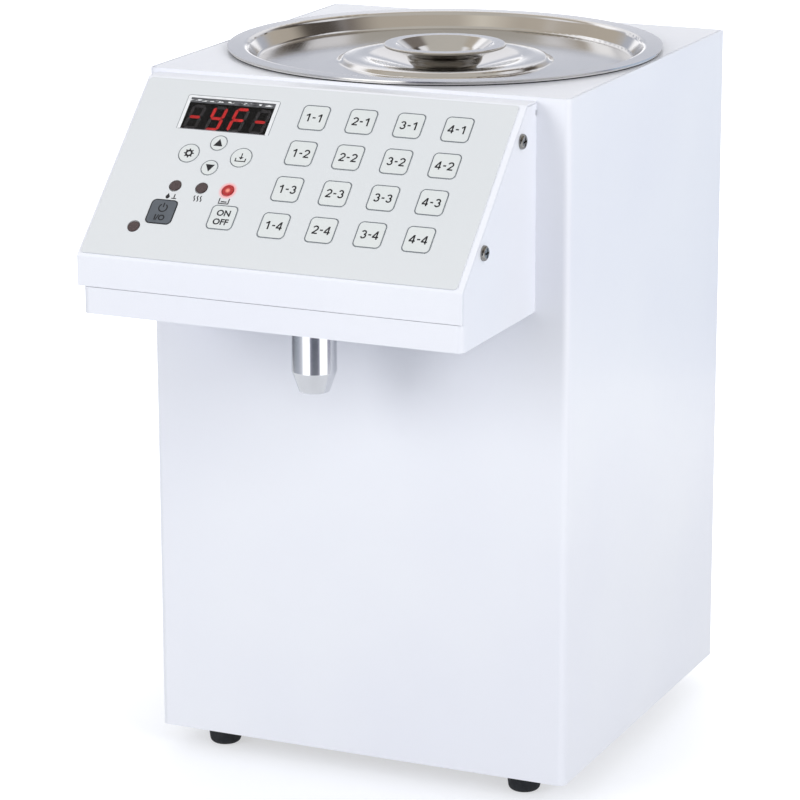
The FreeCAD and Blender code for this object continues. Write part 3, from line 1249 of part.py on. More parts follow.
def mains_inlet():
    """Three-pin appliance inlet: flange outside the back panel, body inside, pins in its well."""
    rim = plate(INLET_W + 2 * INLET_RIM, INLET_H + INLET_RIM, INLET_RIM_R, INLET_RIM_T)
    body = plate(INLET_W, INLET_H, INLET_BODY_R, INLET_DEPTH, (0, 0), -INLET_DEPTH)
    x, y = INLET_W / 2 - INLET_WALL, INLET_H / 2 - INLET_WALL
    well_r = INLET_BODY_R / 2
    corner = INLET_CORNER
    well = prism(rounded_wire([(-x, -y, well_r), (x, -y, well_r), (x, y - corner, 0), (x - corner, y, 0),
                               (corner - x, y, 0), (-x, y - corner, 0)]),
                 INLET_DEPTH, INLET_FLOOR - INLET_DEPTH)
    pins = []
    for px, py in PINS:
        pins.append(box(px - PIN_W / 2, px + PIN_W / 2, py - PIN_H / 2, py + PIN_H / 2,
                        INLET_FLOOR - PIN_ROOT - INLET_DEPTH, -PIN_SETBACK))
    inlet = fuse([fuse([rim, body]).cut(well)] + pins)
    outward = FreeCAD.Rotation(V(-1, 0, 0), V(0, 0, 1), V(0, 1, 0))
    inlet.Placement = FreeCAD.Placement(V(INLET_X, Y_BACK, Z_BOTTOM + INLET_UP), outward)
    return inlet


# ---- Everything, one file per piece or group of like pieces ----
def build_nodes():
    nodes = {
        "wrap_shell": wrap_shell(),
        "top_plate": top_plate(),
        "back_panel": back_panel(),
        "base_plate": base_plate(),
        "back_screws": back_screws(),
        "rubber_feet": rubber_feet(),
        "foot_screws": foot_screws(),
        "head_housing": head_housing(),
        "head_cover": head_cover(),
        "head_screws": head_screws(),
        "panel_film": panel_film(),
        "display_window": display_window(),
        "display_module": display_module(),
        "indicator_lamps": indicator_lamps(),
        "control_board": [control_board()] + tact_switches(),
        "tank": tank(),
        "tank_gasket": tank_gasket(),
        "heater_band": heater_band(),
        "temperature_sensor": temperature_sensor(),
        "lid": lid(),
        "lid_knob": lid_knob(),
        "knob_screw": knob_screw(),
        "suction_hose": suction_hose(),
        "delivery_hose": delivery_hose(),
        "hose_clamps": hose_clamps(),
        "pump_body": pump_body(),
        "pump_cover": pump_cover(),
        "drive_screws": pump_screws() + motor_screws(),
        "drive_gear": drive_gear(),
        "idler_gear": idler_gear(),
        "pump_bracket": pump_bracket(),
        "motor": motor(),
        "motor_shaft": motor_shaft(),
        "shaft_coupling": shaft_coupling(),
        "nozzle": nozzle(),
        "nozzle_nut": nozzle_nut(),
        "power_supply": power_supply(),
        "mains_inlet": mains_inlet(),
    }
    nodes.update(keys())
    return nodes


def main():
    os.makedirs("parts", exist_ok=True)
    print("delivery hose bend radii, mm:", HOSE_BEND_R)
    for name, shape in build_nodes().items():
        solid = Part.makeCompound(shape) if isinstance(shape, list) else shape
        solid.exportStep(f"parts/{name}.step")


main()
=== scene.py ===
"""Looks of the fructose dispenser: finishes, printed panel, display digits, studio and camera.

Metres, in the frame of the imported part: origin under the middle of the cabinet at counter level,
front towards -Y, up +Z. Sizes below are written in millimetres times MM.
"""

import json
import math

import bmesh
import bpy
from mathutils import Matrix, Vector


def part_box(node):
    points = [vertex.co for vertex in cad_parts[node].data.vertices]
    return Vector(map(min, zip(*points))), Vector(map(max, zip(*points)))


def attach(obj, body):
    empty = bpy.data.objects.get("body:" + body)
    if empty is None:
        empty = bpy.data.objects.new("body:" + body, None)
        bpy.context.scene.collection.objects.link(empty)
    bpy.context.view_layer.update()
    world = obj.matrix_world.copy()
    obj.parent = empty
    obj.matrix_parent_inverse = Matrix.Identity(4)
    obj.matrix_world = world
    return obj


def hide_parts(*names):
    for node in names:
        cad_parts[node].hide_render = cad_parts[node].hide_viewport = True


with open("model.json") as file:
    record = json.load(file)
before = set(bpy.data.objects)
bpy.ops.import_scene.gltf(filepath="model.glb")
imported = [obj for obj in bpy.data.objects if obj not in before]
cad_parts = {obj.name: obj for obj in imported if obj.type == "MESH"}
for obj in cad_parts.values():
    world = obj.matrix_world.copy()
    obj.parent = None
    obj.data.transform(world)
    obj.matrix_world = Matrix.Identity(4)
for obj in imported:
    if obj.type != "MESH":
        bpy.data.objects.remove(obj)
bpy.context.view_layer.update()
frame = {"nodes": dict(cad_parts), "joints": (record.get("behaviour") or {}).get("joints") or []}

MM = 0.001
TURN = 2 * math.pi

# Camera, set to the photograph's view of the cabinet
CAMERA_PLACE = Vector((0.8405, -1.88435, 0.7735))
CAMERA_YAW = math.radians(-24.22)
CAMERA_PITCH = math.radians(15.28)
CAMERA_ROLL = math.radians(-0.15)
SENSOR_WIDTH = 36.0
FOCAL_LENGTH = 162.24
CLIP_END = 60.0

# The panel: film, keys and print
FILM_T = 0.8 * MM
KEY_PROUD = 0.15 * MM
PRINT_T = 0.03 * MM
PRINT_SINK = 0.02 * MM
OUTLINE_W = 0.58 * MM
OUTLINE_H = 0.07 * MM
FINE_OUTLINE_W = 0.42 * MM
DOSE_CORNER_R = 3.0 * MM
NUMERAL_H = 5.4 * MM
NUMERAL_PEN = 0.88 * MM
NUMERAL_REACH = 3.6 * MM
HYPHEN_W = 1.8 * MM
SIGN_PEN = 0.62 * MM
BOLD_SIGN_PEN = 0.75 * MM
WORD_WEIGHT = 0.15 * MM
MANUAL_WORD_H = 3.9 * MM
MANUAL_LINE_UP = 2.9 * MM       # places of prints are measured from the key's middle
POWER_MARK_UP = 2.6 * MM
POWER_WORD_H = 3.6 * MM
POWER_WORD_UP = -3.9 * MM

# Display
DIGITS = "-yF-"
SEGMENTS_OF = {"y": "bcdfg", "F": "aefg", "-": "g"}
DIGIT_PITCH = 13.65 * MM
DIGIT_W = 8.9 * MM
DIGIT_H = 16.8 * MM
DIGIT_ACROSS = 0.3 * MM
DIGIT_UP = -2.5 * MM
DIGIT_SLANT = math.tan(math.radians(6))
SEGMENT_W = 1.9 * MM
SEGMENT_GAP = 0.12 * MM

# Indicator lamps
LAMP_R = 3.5 * MM
LAMP_PITCH = 16.35 * MM
LIT_STRENGTH = 0.95

WEAVE_PITCH = 1.2 * MM          # of the heating band's cloth

ROUND_STEPS = 12                # stretches round a quarter turn
SMALLEST_R = 0.02 * MM
MITRE_LEAST = 0.4               # keeps the mitre of a sharp bend short
CAP_SHARE = 0.73                # a capital's height, as a share of the font's size


# ---- Shader helpers ----

def srgb(red, green, blue):
    """Linear colour of a display colour written 0-255."""
    def linear(value):
        value /= 255
        return value / 12.92 if value <= 0.04045 else ((value + 0.055) / 1.055) ** 2.4
    return (linear(red), linear(green), linear(blue), 1.0)


class Finish:
    """One procedural material on a Principled shader, built up a layer at a time."""

    def __init__(self, name, colour, roughness, metallic=0.0):
        self.material = bpy.data.materials.new(name)
        self.material.use_nodes = True
        self.tree = self.material.node_tree
        self.shader = self.tree.nodes["Principled BSDF"]
        self.shader.inputs["Base Color"].default_value = colour
        self.shader.inputs["Roughness"].default_value = roughness
        self.shader.inputs["Metallic"].default_value = metallic
        self.place = self.add("ShaderNodeTexCoord").outputs["Object"]

    def add(self, kind, **inputs):
        """Adds a node; each input is a value or another node's output."""
        node = self.tree.nodes.new(kind)
        for name, value in inputs.items():
            self.feed(node.inputs[name.replace("_", " ")], value)
        return node

    def feed(self, socket, value):
        if isinstance(value, bpy.types.NodeSocket):
            self.tree.links.new(value, socket)
        else:
            socket.default_value = value

    def math(self, operation, first, second=0.0):
        node = self.tree.nodes.new("ShaderNodeMath")
        node.operation = operation
        self.feed(node.inputs[0], first)
        self.feed(node.inputs[1], second)
        return node.outputs[0]

    def axis(self, name):
        """One coordinate of the surface point, in metres."""
        return self.add("ShaderNodeSeparateXYZ", Vector=self.place).outputs[name]

    def noise(self, scale, detail, stretch=(1, 1, 1)):
        spot = self.add("ShaderNodeMapping", Vector=self.place, Scale=stretch)
        made = self.add("ShaderNodeTexNoise", Vector=spot.outputs[0], Scale=scale, Detail=detail)
        return made.outputs[0]

    def cells(self, scale, feature="F1"):
        made = self.add("ShaderNodeTexVoronoi", Vector=self.place, Scale=scale)
        made.feature = feature
        return made

    def range(self, value, low, high, out_low=0.0, out_high=1.0, smooth=False):
        node = self.tree.nodes.new("ShaderNodeMapRange")
        node.interpolation_type = "SMOOTHSTEP" if smooth else "LINEAR"
        for socket, wanted in zip(node.inputs, (value, low, high, out_low, out_high)):
            self.feed(socket, wanted)
        return node.outputs[0]

    def vector_math(self, operation, *vectors):
        node = self.tree.nodes.new("ShaderNodeVectorMath")
        node.operation = operation
        for socket, vector in zip(node.inputs, vectors):
            self.feed(socket, vector)
        return node

    def distance_to(self, point, flatten=(1, 1, 1)):
        """Distance of the surface point from a point; flatten drops an axis to make it a radius."""
        offset = self.vector_math("SUBTRACT", self.place, point).outputs[0]
        kept = self.vector_math("MULTIPLY", offset, flatten).outputs[0]
        return self.vector_math("LENGTH", kept).outputs["Value"]

    def rings(self, radius, scale):
        """One-dimensional noise along a radius: the fine marks that turning or spinning leaves."""
        spot = self.add("ShaderNodeCombineXYZ", X=self.math("MULTIPLY", radius, scale))
        made = self.add("ShaderNodeTexNoise", Vector=spot.outputs[0], Scale=1.0, Detail=4.0)
        return made.outputs[0]

    def blend(self, mask, first, second):
        """A colour between two, by a 0-1 mask."""
        node = self.tree.nodes.new("ShaderNodeMix")
        node.data_type = "RGBA"
        sockets = (node.inputs[0], node.inputs[6], node.inputs[7])
        for socket, value in zip(sockets, (mask, first, second)):
            self.feed(socket, value)
        return node.outputs[2]

    def tint(self, mask, colour, most=1.0):
        """Mixes a colour into what the base colour holds so far, by a 0-1 mask."""
        socket = self.shader.inputs["Base Color"]
        so_far = socket.links[0].from_socket if socket.is_linked else socket.default_value
        self.feed(socket, self.blend(self.math("MULTIPLY", mask, most), so_far, colour))

    def rough(self, mask, low, high):
        """Roughness from low to high over the middle half of a noise."""
        self.feed(self.shader.inputs["Roughness"], self.range(mask, 0.25, 0.75, low, high))

    def bump(self, height, depth):
        """Adds a relief of the given depth in metres, on top of any relief already there."""
        made = self.add("ShaderNodeBump", Height=height, Distance=depth, Strength=1.0)
        socket = self.shader.inputs["Normal"]
        if socket.is_linked:
            self.feed(made.inputs["Normal"], socket.links[0].from_socket)
        self.feed(socket, made.outputs[0])

    def set(self, **values):
        """Sets inputs of the shader, each to a value or another node's output."""
        for name, value in values.items():
            self.feed(self.shader.inputs[name.replace("_", " ")], value)


# ---- Finishes ----

def white_enamel():
    """Cold white powder coat with its fine orange peel."""
    f = Finish("white_enamel", srgb(236, 238, 244), 0.34)
    f.tint(f.range(f.noise(7.0, 2.0), 0.35, 0.7), srgb(230, 232, 241), 0.7)
    f.tint(f.range(f.noise(2600.0, 1.0), 0.62, 0.75), srgb(222, 225, 232), 0.35)
    f.rough(f.noise(140.0, 3.0), 0.29, 0.4)
    f.bump(f.noise(620.0, 2.0), 0.022 * MM)
    f.bump(f.noise(2400.0, 2.0), 0.004 * MM)
    f.set(Specular_IOR_Level=0.5, Coat_Weight=0.12, Coat_Roughness=0.12)
    return f


def panel_grey(lit_lamp):
    """Velvet-grained polycarbonate film, with the lit lamp's glow spreading round its lens."""
    f = Finish("panel_grey", srgb(216, 219, 222), 0.42)
    f.tint(f.range(f.noise(9.0, 2.0), 0.35, 0.7), srgb(212, 216, 219), 0.6)
    f.tint(f.range(f.noise(3800.0, 1.0), 0.6, 0.8), srgb(196, 199, 202), 0.3)
    f.rough(f.noise(420.0, 3.0), 0.36, 0.5)
    f.bump(f.noise(4200.0, 2.0), 0.006 * MM)
    away = f.distance_to(lit_lamp)
    glow = f.range(away, LAMP_R, 1.75 * LAMP_R, 1.0, 0.0, smooth=True)
    f.tint(glow, srgb(255, 138, 140), 0.8)
    return f


def key_face():
    """Embossed windows of the film, a shade lighter and smoother than the film round them."""
    f = Finish("key_face", srgb(216, 220, 220), 0.38)
    f.tint(f.range(f.noise(60.0, 2.0), 0.35, 0.7), srgb(211, 216, 217), 0.6)
    f.tint(f.range(f.noise(3800.0, 1.0), 0.6, 0.8), srgb(198, 204, 205), 0.25)
    f.rough(f.noise(420.0, 3.0), 0.33, 0.46)
    f.bump(f.noise(4200.0, 2.0), 0.005 * MM)
    return f


def power_key_grey():
    """Dark grey print behind the power key."""
    f = Finish("power_key_grey", srgb(91, 97, 105), 0.4)
    f.tint(f.range(f.noise(160.0, 3.0), 0.35, 0.7), srgb(80, 86, 94), 0.8)
    f.tint(f.range(f.noise(3600.0, 1.0), 0.6, 0.8), srgb(116, 123, 132), 0.35)
    f.rough(f.noise(420.0, 3.0), 0.36, 0.5)
    f.bump(f.noise(4200.0, 2.0), 0.005 * MM)
    return f


def print_ink(name, colour, worn):
    """Screen-printed ink: slightly uneven, with pinholes where the mesh left little of it."""
    f = Finish(name, colour, 0.5)
    f.tint(f.range(f.noise(900.0, 3.0), 0.4, 0.75), worn, 0.45)
    f.tint(f.range(f.noise(5200.0, 1.0), 0.66, 0.78), worn, 0.5)
    f.rough(f.noise(700.0, 2.0), 0.42, 0.6)
    f.bump(f.noise(3600.0, 2.0), 0.004 * MM)
    return f


def smoked_lens():
    """Smoked acrylic over the digits."""
    f = Finish("smoked_lens", (0.44, 0.43, 0.44, 1), 0.04)
    f.set(Transmission_Weight=1.0, IOR=1.2, Specular_IOR_Level=0.5)
    f.rough(f.noise(60.0, 4.0), 0.03, 0.09)
    f.tint(f.range(f.noise(300.0, 3.0), 0.5, 0.8), (0.37, 0.36, 0.37, 1), 0.5)
    f.bump(f.noise(90.0, 2.0), 0.002 * MM)
    return f


def digit_block():
    """Black face of the display and its mask."""
    f = Finish("digit_block", srgb(8, 8, 10), 0.5)
    f.tint(f.range(f.noise(1200.0, 3.0), 0.45, 0.75), srgb(18, 18, 21), 0.6)
    f.set(Specular_IOR_Level=0.15)
    f.rough(f.noise(500.0, 3.0), 0.4, 0.62)
    f.bump(f.noise(1800.0, 2.0), 0.006 * MM)
    return f


def speckled_edge(middle, reach):
    """The grey strip along the display's top, with a broken line of painted glints along its
    middle.
    """
    f = Finish("speckled_edge", srgb(84, 86, 90), 0.5)
    f.tint(f.range(f.noise(420.0, 3.0, (0.6, 1, 1)), 0.5, 0.62), srgb(38, 39, 43), 0.85)
    away = f.math("ABSOLUTE", f.math("SUBTRACT", f.axis("Y"), middle))
    line = f.range(away, 0.4 * reach, reach, 1.0, 0.0)
    glint_dashes = f.range(f.noise(800.0, 3.0, (0.4, 1, 1)), 0.53, 0.6)
    # The white dashes are painted glints, a painted highlight along the strip's middle.
    f.tint(f.math("MULTIPLY", line, glint_dashes), srgb(240, 242, 244))
    f.rough(f.noise(900.0, 2.0), 0.35, 0.6)
    f.bump(f.noise(1800.0, 2.0), 0.02 * MM)
    return f


def glowing_segment():
    """Lit segment: a red diffuser, unevenly bright over its dies."""
    f = Finish("glowing_segment", srgb(150, 10, 16), 0.4)
    f.tint(f.range(f.noise(900.0, 2.0), 0.4, 0.7), srgb(200, 40, 36), 0.5)
    f.bump(f.noise(2400.0, 2.0), 0.004 * MM)
    glow = f.range(f.noise(480.0, 2.0), 0.3, 0.7, 0.75, 1.6)
    f.set(Emission_Color=srgb(232, 52, 50), Emission_Strength=glow)
    return f


def dark_segment():
    """Unlit segment: a diffuser that shows faintly against the black face."""
    f = Finish("dark_segment", srgb(88, 88, 89), 0.5)
    f.tint(f.range(f.noise(900.0, 2.0), 0.4, 0.7), srgb(106, 105, 107), 0.6)
    f.bump(f.noise(2400.0, 2.0), 0.004 * MM)
    return f


def lamp_lens(lit_lamp):
    """Dark red-brown lamp lenses; the one that is on glows, whitest in the middle."""
    f = Finish("lamp_lens", srgb(58, 43, 46), 0.25)
    f.tint(f.range(f.noise(420.0, 3.0), 0.4, 0.7), srgb(76, 59, 62), 0.6)
    f.rough(f.noise(500.0, 2.0), 0.18, 0.32)
    f.bump(f.noise(1400.0, 2.0), 0.01 * MM)
    f.set(Coat_Weight=0.7, Coat_Roughness=0.08)
    away = f.distance_to(lit_lamp)
    lit = f.range(away, 1.15 * LAMP_R, 1.45 * LAMP_R, 1.0, 0.0)
    core = f.range(away, 0.05 * LAMP_R, 0.58 * LAMP_R, 1.0, 0.0, smooth=True)
    f.tint(lit, srgb(100, 6, 10))
    f.set(Emission_Color=f.blend(core, srgb(152, 6, 16), srgb(255, 165, 145)),
          Emission_Strength=f.math("MULTIPLY", lit, LIT_STRENGTH))
    return f


def polished_steel(axis):
    """Polished stainless steel with faint rings round its own axis and a little handling haze."""
    f = Finish("polished_steel", (0.63, 0.62, 0.605, 1), 0.09, metallic=1.0)
    rings = f.rings(f.distance_to(axis, flatten=(1, 1, 0)), 5200.0)
    haze = f.noise(22.0, 4.0)
    f.tint(f.range(haze, 0.4, 0.75), (0.55, 0.545, 0.54, 1), 0.5)
    f.tint(f.range(rings, 0.35, 0.7), (0.7, 0.695, 0.68, 1), 0.3)
    worn = f.math("ADD", f.math("MULTIPLY", rings, 0.6), f.math("MULTIPLY", haze, 0.4))
    f.rough(worn, 0.09, 0.17)
    f.bump(rings, 0.0012 * MM)
    f.bump(f.noise(9.0, 1.0), 0.05 * MM)
    return f


def nozzle_steel():
    """Polished bar turned on a lathe: fine grooves run round it, stacked along its axis."""
    f = Finish("nozzle_steel", (0.66, 0.67, 0.69, 1), 0.12, metallic=1.0)
    grooves = f.rings(f.axis("Z"), 7000.0)
    f.tint(f.range(grooves, 0.35, 0.7), (0.74, 0.75, 0.77, 1), 0.5)
    f.tint(f.range(f.noise(60.0, 3.0), 0.45, 0.75), (0.58, 0.59, 0.61, 1), 0.4)
    f.rough(grooves, 0.1, 0.18)
    f.bump(grooves, 0.0015 * MM)
    return f


def satin_steel():
    """Drawn stainless steel of the syrup tank, brushed round its wall."""
    f = Finish("satin_steel", (0.74, 0.735, 0.725, 1), 0.26, metallic=1.0)
    brushed = f.noise(60.0, 5.0, (1, 1, 26))
    f.tint(f.range(brushed, 0.35, 0.7), (0.81, 0.805, 0.795, 1), 0.5)
    f.tint(f.range(f.noise(14.0, 4.0), 0.45, 0.75), (0.68, 0.675, 0.665, 1), 0.5)
    f.rough(brushed, 0.24, 0.4)
    f.bump(brushed, 0.004 * MM)
    return f


def screw_steel():
    """Nickel-plated screws and clamps, lighter and darker in random patches."""
    f = Finish("screw_steel", (0.3, 0.295, 0.28, 1), 0.2, metallic=1.0)
    f.tint(f.range(f.noise(380.0, 4.0), 0.4, 0.7), (0.16, 0.155, 0.15, 1), 0.6)
    f.tint(f.range(f.noise(90.0, 2.0), 0.5, 0.8), (0.5, 0.48, 0.44, 1), 0.5)
    f.rough(f.noise(600.0, 3.0), 0.14, 0.3)
    f.bump(f.noise(900.0, 3.0), 0.012 * MM)
    return f


def black_rubber():
    """Moulded rubber of the feet, with a little dust."""
    f = Finish("black_rubber", srgb(17, 20, 25), 0.72)
    f.tint(f.range(f.noise(120.0, 4.0), 0.4, 0.75), srgb(30, 34, 39), 0.7)
    f.tint(f.range(f.noise(1600.0, 2.0), 0.6, 0.75), srgb(52, 56, 60), 0.4)
    f.rough(f.noise(260.0, 3.0), 0.6, 0.85)
    f.bump(f.noise(800.0, 4.0), 0.05 * MM)
    return f


def clear_hose():
    """Clear PVC hose, with a faint surface texture and traces of syrup."""
    f = Finish("clear_hose", (0.93, 0.9, 0.8, 1), 0.12)
    f.set(Transmission_Weight=0.85, IOR=1.53)
    f.tint(f.range(f.noise(60.0, 3.0), 0.45, 0.75), (0.9, 0.8, 0.55, 1), 0.5)
    f.rough(f.noise(300.0, 3.0), 0.08, 0.22)
    f.bump(f.noise(500.0, 2.0), 0.02 * MM)
    return f


def seal_black():
    """Matt black gasket rubber, also the dark rings painted as the shaded gap round the lamps."""
    f = Finish("seal_black", srgb(36, 36, 38), 0.6)
    f.tint(f.range(f.noise(400.0, 3.0), 0.4, 0.7), srgb(52, 52, 55), 0.7)
    f.rough(f.noise(300.0, 3.0), 0.5, 0.72)
    f.bump(f.noise(900.0, 3.0), 0.03 * MM)
    return f


def heater_orange():
    """Silicone heating band with the cloth weave of its glass fibre showing through."""
    f = Finish("heater_orange", srgb(196, 84, 40), 0.55)
    around, along = (f.math("SINE", f.math("MULTIPLY", f.axis(axis), TURN / WEAVE_PITCH))
                     for axis in "ZX")
    weave = f.range(f.math("MULTIPLY", around, along), -1.0, 1.0)
    f.tint(weave, srgb(214, 104, 56), 0.6)
    f.tint(f.range(f.noise(70.0, 4.0), 0.45, 0.75), srgb(160, 62, 32), 0.6)
    f.rough(f.noise(300.0, 3.0), 0.45, 0.68)
    f.bump(weave, 0.05 * MM)
    return f


def board_green():
    """Green solder mask over glass fibre, with the copper's tracks as lighter areas."""
    f = Finish("board_green", srgb(24, 92, 58), 0.34)
    tracks = f.cells(160.0, "DISTANCE_TO_EDGE").outputs["Distance"]
    f.tint(f.range(tracks, 0.04, 0.07), srgb(36, 116, 74), 0.7)
    f.tint(f.range(f.noise(1100.0, 2.0), 0.5, 0.72), srgb(18, 72, 46), 0.5)
    f.rough(f.noise(500.0, 2.0), 0.26, 0.44)
    f.bump(f.range(tracks, 0.03, 0.07), 0.03 * MM)
    return f


def pump_brass():
    """Machined brass, tarnished a little in random patches."""
    f = Finish("pump_brass", (0.62, 0.47, 0.23, 1), 0.28, metallic=1.0)
    milled = f.noise(90.0, 4.0, (1, 14, 1))
    f.tint(f.range(milled, 0.35, 0.7), (0.72, 0.57, 0.31, 1), 0.6)
    f.tint(f.range(f.noise(40.0, 5.0), 0.5, 0.75), (0.4, 0.27, 0.13, 1), 0.6)
    f.rough(f.noise(160.0, 4.0), 0.2, 0.45)
    f.bump(milled, 0.008 * MM)
    return f


def gear_steel():
    """Ground and oiled gear steel."""
    f = Finish("gear_steel", (0.46, 0.46, 0.47, 1), 0.24, metallic=1.0)
    ground = f.noise(160.0, 4.0, (1, 12, 1))
    f.tint(f.range(ground, 0.35, 0.7), (0.58, 0.58, 0.59, 1), 0.6)
    f.tint(f.range(f.noise(60.0, 4.0), 0.5, 0.78), (0.3, 0.28, 0.25, 1), 0.5)
    f.rough(f.noise(260.0, 3.0), 0.16, 0.36)
    f.bump(ground, 0.005 * MM)
    f.set(Coat_Weight=0.4, Coat_Roughness=0.1)
    return f


def bracket_steel():
    """Galvanised sheet with its spangle."""
    f = Finish("bracket_steel", (0.55, 0.56, 0.57, 1), 0.36, metallic=1.0)
    spangle = f.cells(120.0).outputs["Color"]
    shade = f.add("ShaderNodeRGBToBW", Color=spangle).outputs[0]
    f.tint(shade, (0.44, 0.46, 0.48, 1), 0.8)
    f.rough(shade, 0.28, 0.5)
    f.bump(f.noise(500.0, 3.0), 0.01 * MM)
    return f


def motor_grey():
    """Zinc-plated motor can."""
    f = Finish("motor_grey", (0.4, 0.41, 0.43, 1), 0.38, metallic=1.0)
    brushed = f.noise(80.0, 4.0, (1, 12, 1))
    f.tint(f.range(brushed, 0.35, 0.7), (0.5, 0.51, 0.53, 1), 0.6)
    f.tint(f.range(f.noise(30.0, 4.0), 0.5, 0.78), (0.3, 0.3, 0.31, 1), 0.5)
    f.rough(f.noise(200.0, 3.0), 0.3, 0.5)
    f.bump(brushed, 0.006 * MM)
    return f


def supply_case():
    """Aluminium case of the power supply."""
    f = Finish("supply_case", (0.66, 0.67, 0.68, 1), 0.36, metallic=1.0)
    brushed = f.noise(50.0, 5.0, (1, 1, 22))
    f.tint(f.range(brushed, 0.35, 0.7), (0.75, 0.76, 0.77, 1), 0.6)
    f.tint(f.range(f.noise(18.0, 4.0), 0.5, 0.78), (0.55, 0.56, 0.57, 1), 0.5)
    f.rough(brushed, 0.28, 0.46)
    f.bump(brushed, 0.005 * MM)
    return f


def inlet_black():
    """Moulded black plastic with its fine spark-eroded texture."""
    f = Finish("inlet_black", srgb(27, 28, 31), 0.46)
    f.tint(f.range(f.noise(240.0, 3.0), 0.4, 0.7), srgb(38, 39, 43), 0.7)
    f.tint(f.range(f.noise(2600.0, 1.0), 0.6, 0.78), srgb(58, 59, 63), 0.35)
    f.rough(f.noise(500.0, 3.0), 0.38, 0.58)
    f.bump(f.noise(2200.0, 2.0), 0.012 * MM)
    return f


def sensor_black():
    """Epoxy-potted sensor body."""
    f = Finish("sensor_black", srgb(34, 34, 38), 0.4)
    f.tint(f.range(f.noise(260.0, 3.0), 0.4, 0.7), srgb(50, 50, 55), 0.7)
    f.rough(f.noise(300.0, 3.0), 0.32, 0.52)
    f.bump(f.noise(1200.0, 2.0), 0.02 * MM)
    return f


def frame_silver():
    """Pale plastic frame round the display."""
    f = Finish("frame_silver", srgb(232, 234, 236), 0.3)
    f.tint(f.range(f.noise(200.0, 3.0), 0.45, 0.7), srgb(214, 216, 220), 0.7)
    f.tint(f.range(f.noise(1400.0, 2.0), 0.62, 0.78), srgb(160, 163, 168), 0.4)
    f.rough(f.noise(300.0, 2.0), 0.24, 0.4)
    f.bump(f.noise(1600.0, 2.0), 0.006 * MM)
    return f


# ---- The panel's own frame, worked out from a key's travel and the film's box ----

JOINTS = {joint["name"]: joint for joint in frame["joints"]}
OUT = -Vector(JOINTS["power_key_press"]["axis"]).normalized()
ACROSS = Vector((1, 0, 0))
UP = OUT.cross(ACROSS)
FILM_HIGH = Vector(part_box("panel_film")[1])
FILM_TOP_EDGE = Vector((0, FILM_HIGH.y + FILM_T * OUT.y, FILM_HIGH.z))


def panel_place(x, up, out=0.0):
    """World matrix of a spot on the film's face: local X across, Y up the slope, Z outwards."""
    spot = FILM_TOP_EDGE + ACROSS * x + UP * up + OUT * out
    turn = Matrix((ACROSS, UP, OUT)).transposed().to_4x4()
    return Matrix.Translation(spot) @ turn


def middle_on_panel(node):
    """Across and up-slope place of a node that lies square to the panel."""
    low, high = (Vector(corner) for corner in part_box(node))
    middle = (low + high) / 2
    return middle.x, (middle - FILM_TOP_EDGE).dot(UP)


# ---- Mesh helpers ----

def show(name, mesh, matrix, finish, body):
    """Puts a mesh in the scene as a piece that rides on a body."""
    piece = bpy.data.objects.new(name, mesh)
    bpy.context.scene.collection.objects.link(piece)
    piece.matrix_world = matrix
    mesh.materials.append(finish.material)
    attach(piece, body)
    return piece


def polar(radius, angle):
    """Point at a radius and an angle in radians."""
    return radius * math.cos(angle), radius * math.sin(angle)


def rounded_loop(width, height, radius, inset=0.0):
    """Points round a rectangle with arc corners, anticlockwise; inset moves the outline inwards."""
    half_w = width / 2 - inset
    half_h = height / 2 - inset
    r = max(radius - inset, SMALLEST_R)
    corners = ((1, 1), (-1, 1), (-1, -1), (1, -1))
    points = []
    for quarter, (sx, sy) in enumerate(corners):
        for step in range(ROUND_STEPS + 1):
            angle = (quarter + step / ROUND_STEPS) * TURN / 4
            x = sx * (half_w - r) + r * math.cos(angle)
            y = sy * (half_h - r) + r * math.sin(angle)
            points.append((x, y))
    return points


def row_of(made, outline, z):
    """New vertices along an outline, all at one height."""
    return [made.verts.new((x, y, z)) for x, y in outline]


def join_rows(made, row, following, closed=True):
    """Four-cornered faces between two rows of as many vertices."""
    for i in range(len(row) if closed else len(row) - 1):
        j = (i + 1) % len(row)
        made.faces.new((row[i], row[j], following[j], following[i]))


def finished(name, made):
    """Turns a closed shape's faces outwards and makes its mesh."""
    bmesh.ops.recalc_face_normals(made, faces=made.faces)
    mesh = bpy.data.meshes.new(name)
    made.to_mesh(mesh)
    made.free()
    return mesh


def ridge(name, width, height, radius, band, rise):
    """A raised line with a rounded back, following a rounded rectangle just inside its edge."""
    profile = ((0.0, -PRINT_SINK), (0.0, 0.45 * rise), (0.18, 0.85 * rise), (0.5, rise),
               (0.82, 0.85 * rise), (1.0, 0.45 * rise), (1.0, -PRINT_SINK))
    made = bmesh.new()
    rows = [row_of(made, rounded_loop(width, height, radius, share * band), z)
            for share, z in profile]
    for row, following in zip(rows, rows[1:] + rows[:1]):
        join_rows(made, row, following)
    return finished(name, made)


def plate(name, outlines, bottom=-PRINT_SINK, top=PRINT_T):
    """Flat plates with upright edges, one for each simple outline; a layer of ink by default."""
    made = bmesh.new()
    for outline in outlines:
        lower = row_of(made, outline, bottom)
        upper = row_of(made, outline, top)
        made.faces.new(list(reversed(lower)))
        made.faces.new(upper)
        join_rows(made, lower, upper)
    bmesh.ops.recalc_face_normals(made, faces=made.faces)
    bmesh.ops.triangulate(made, faces=[face for face in made.faces if len(face.verts) > 4])
    return finished(name, made)


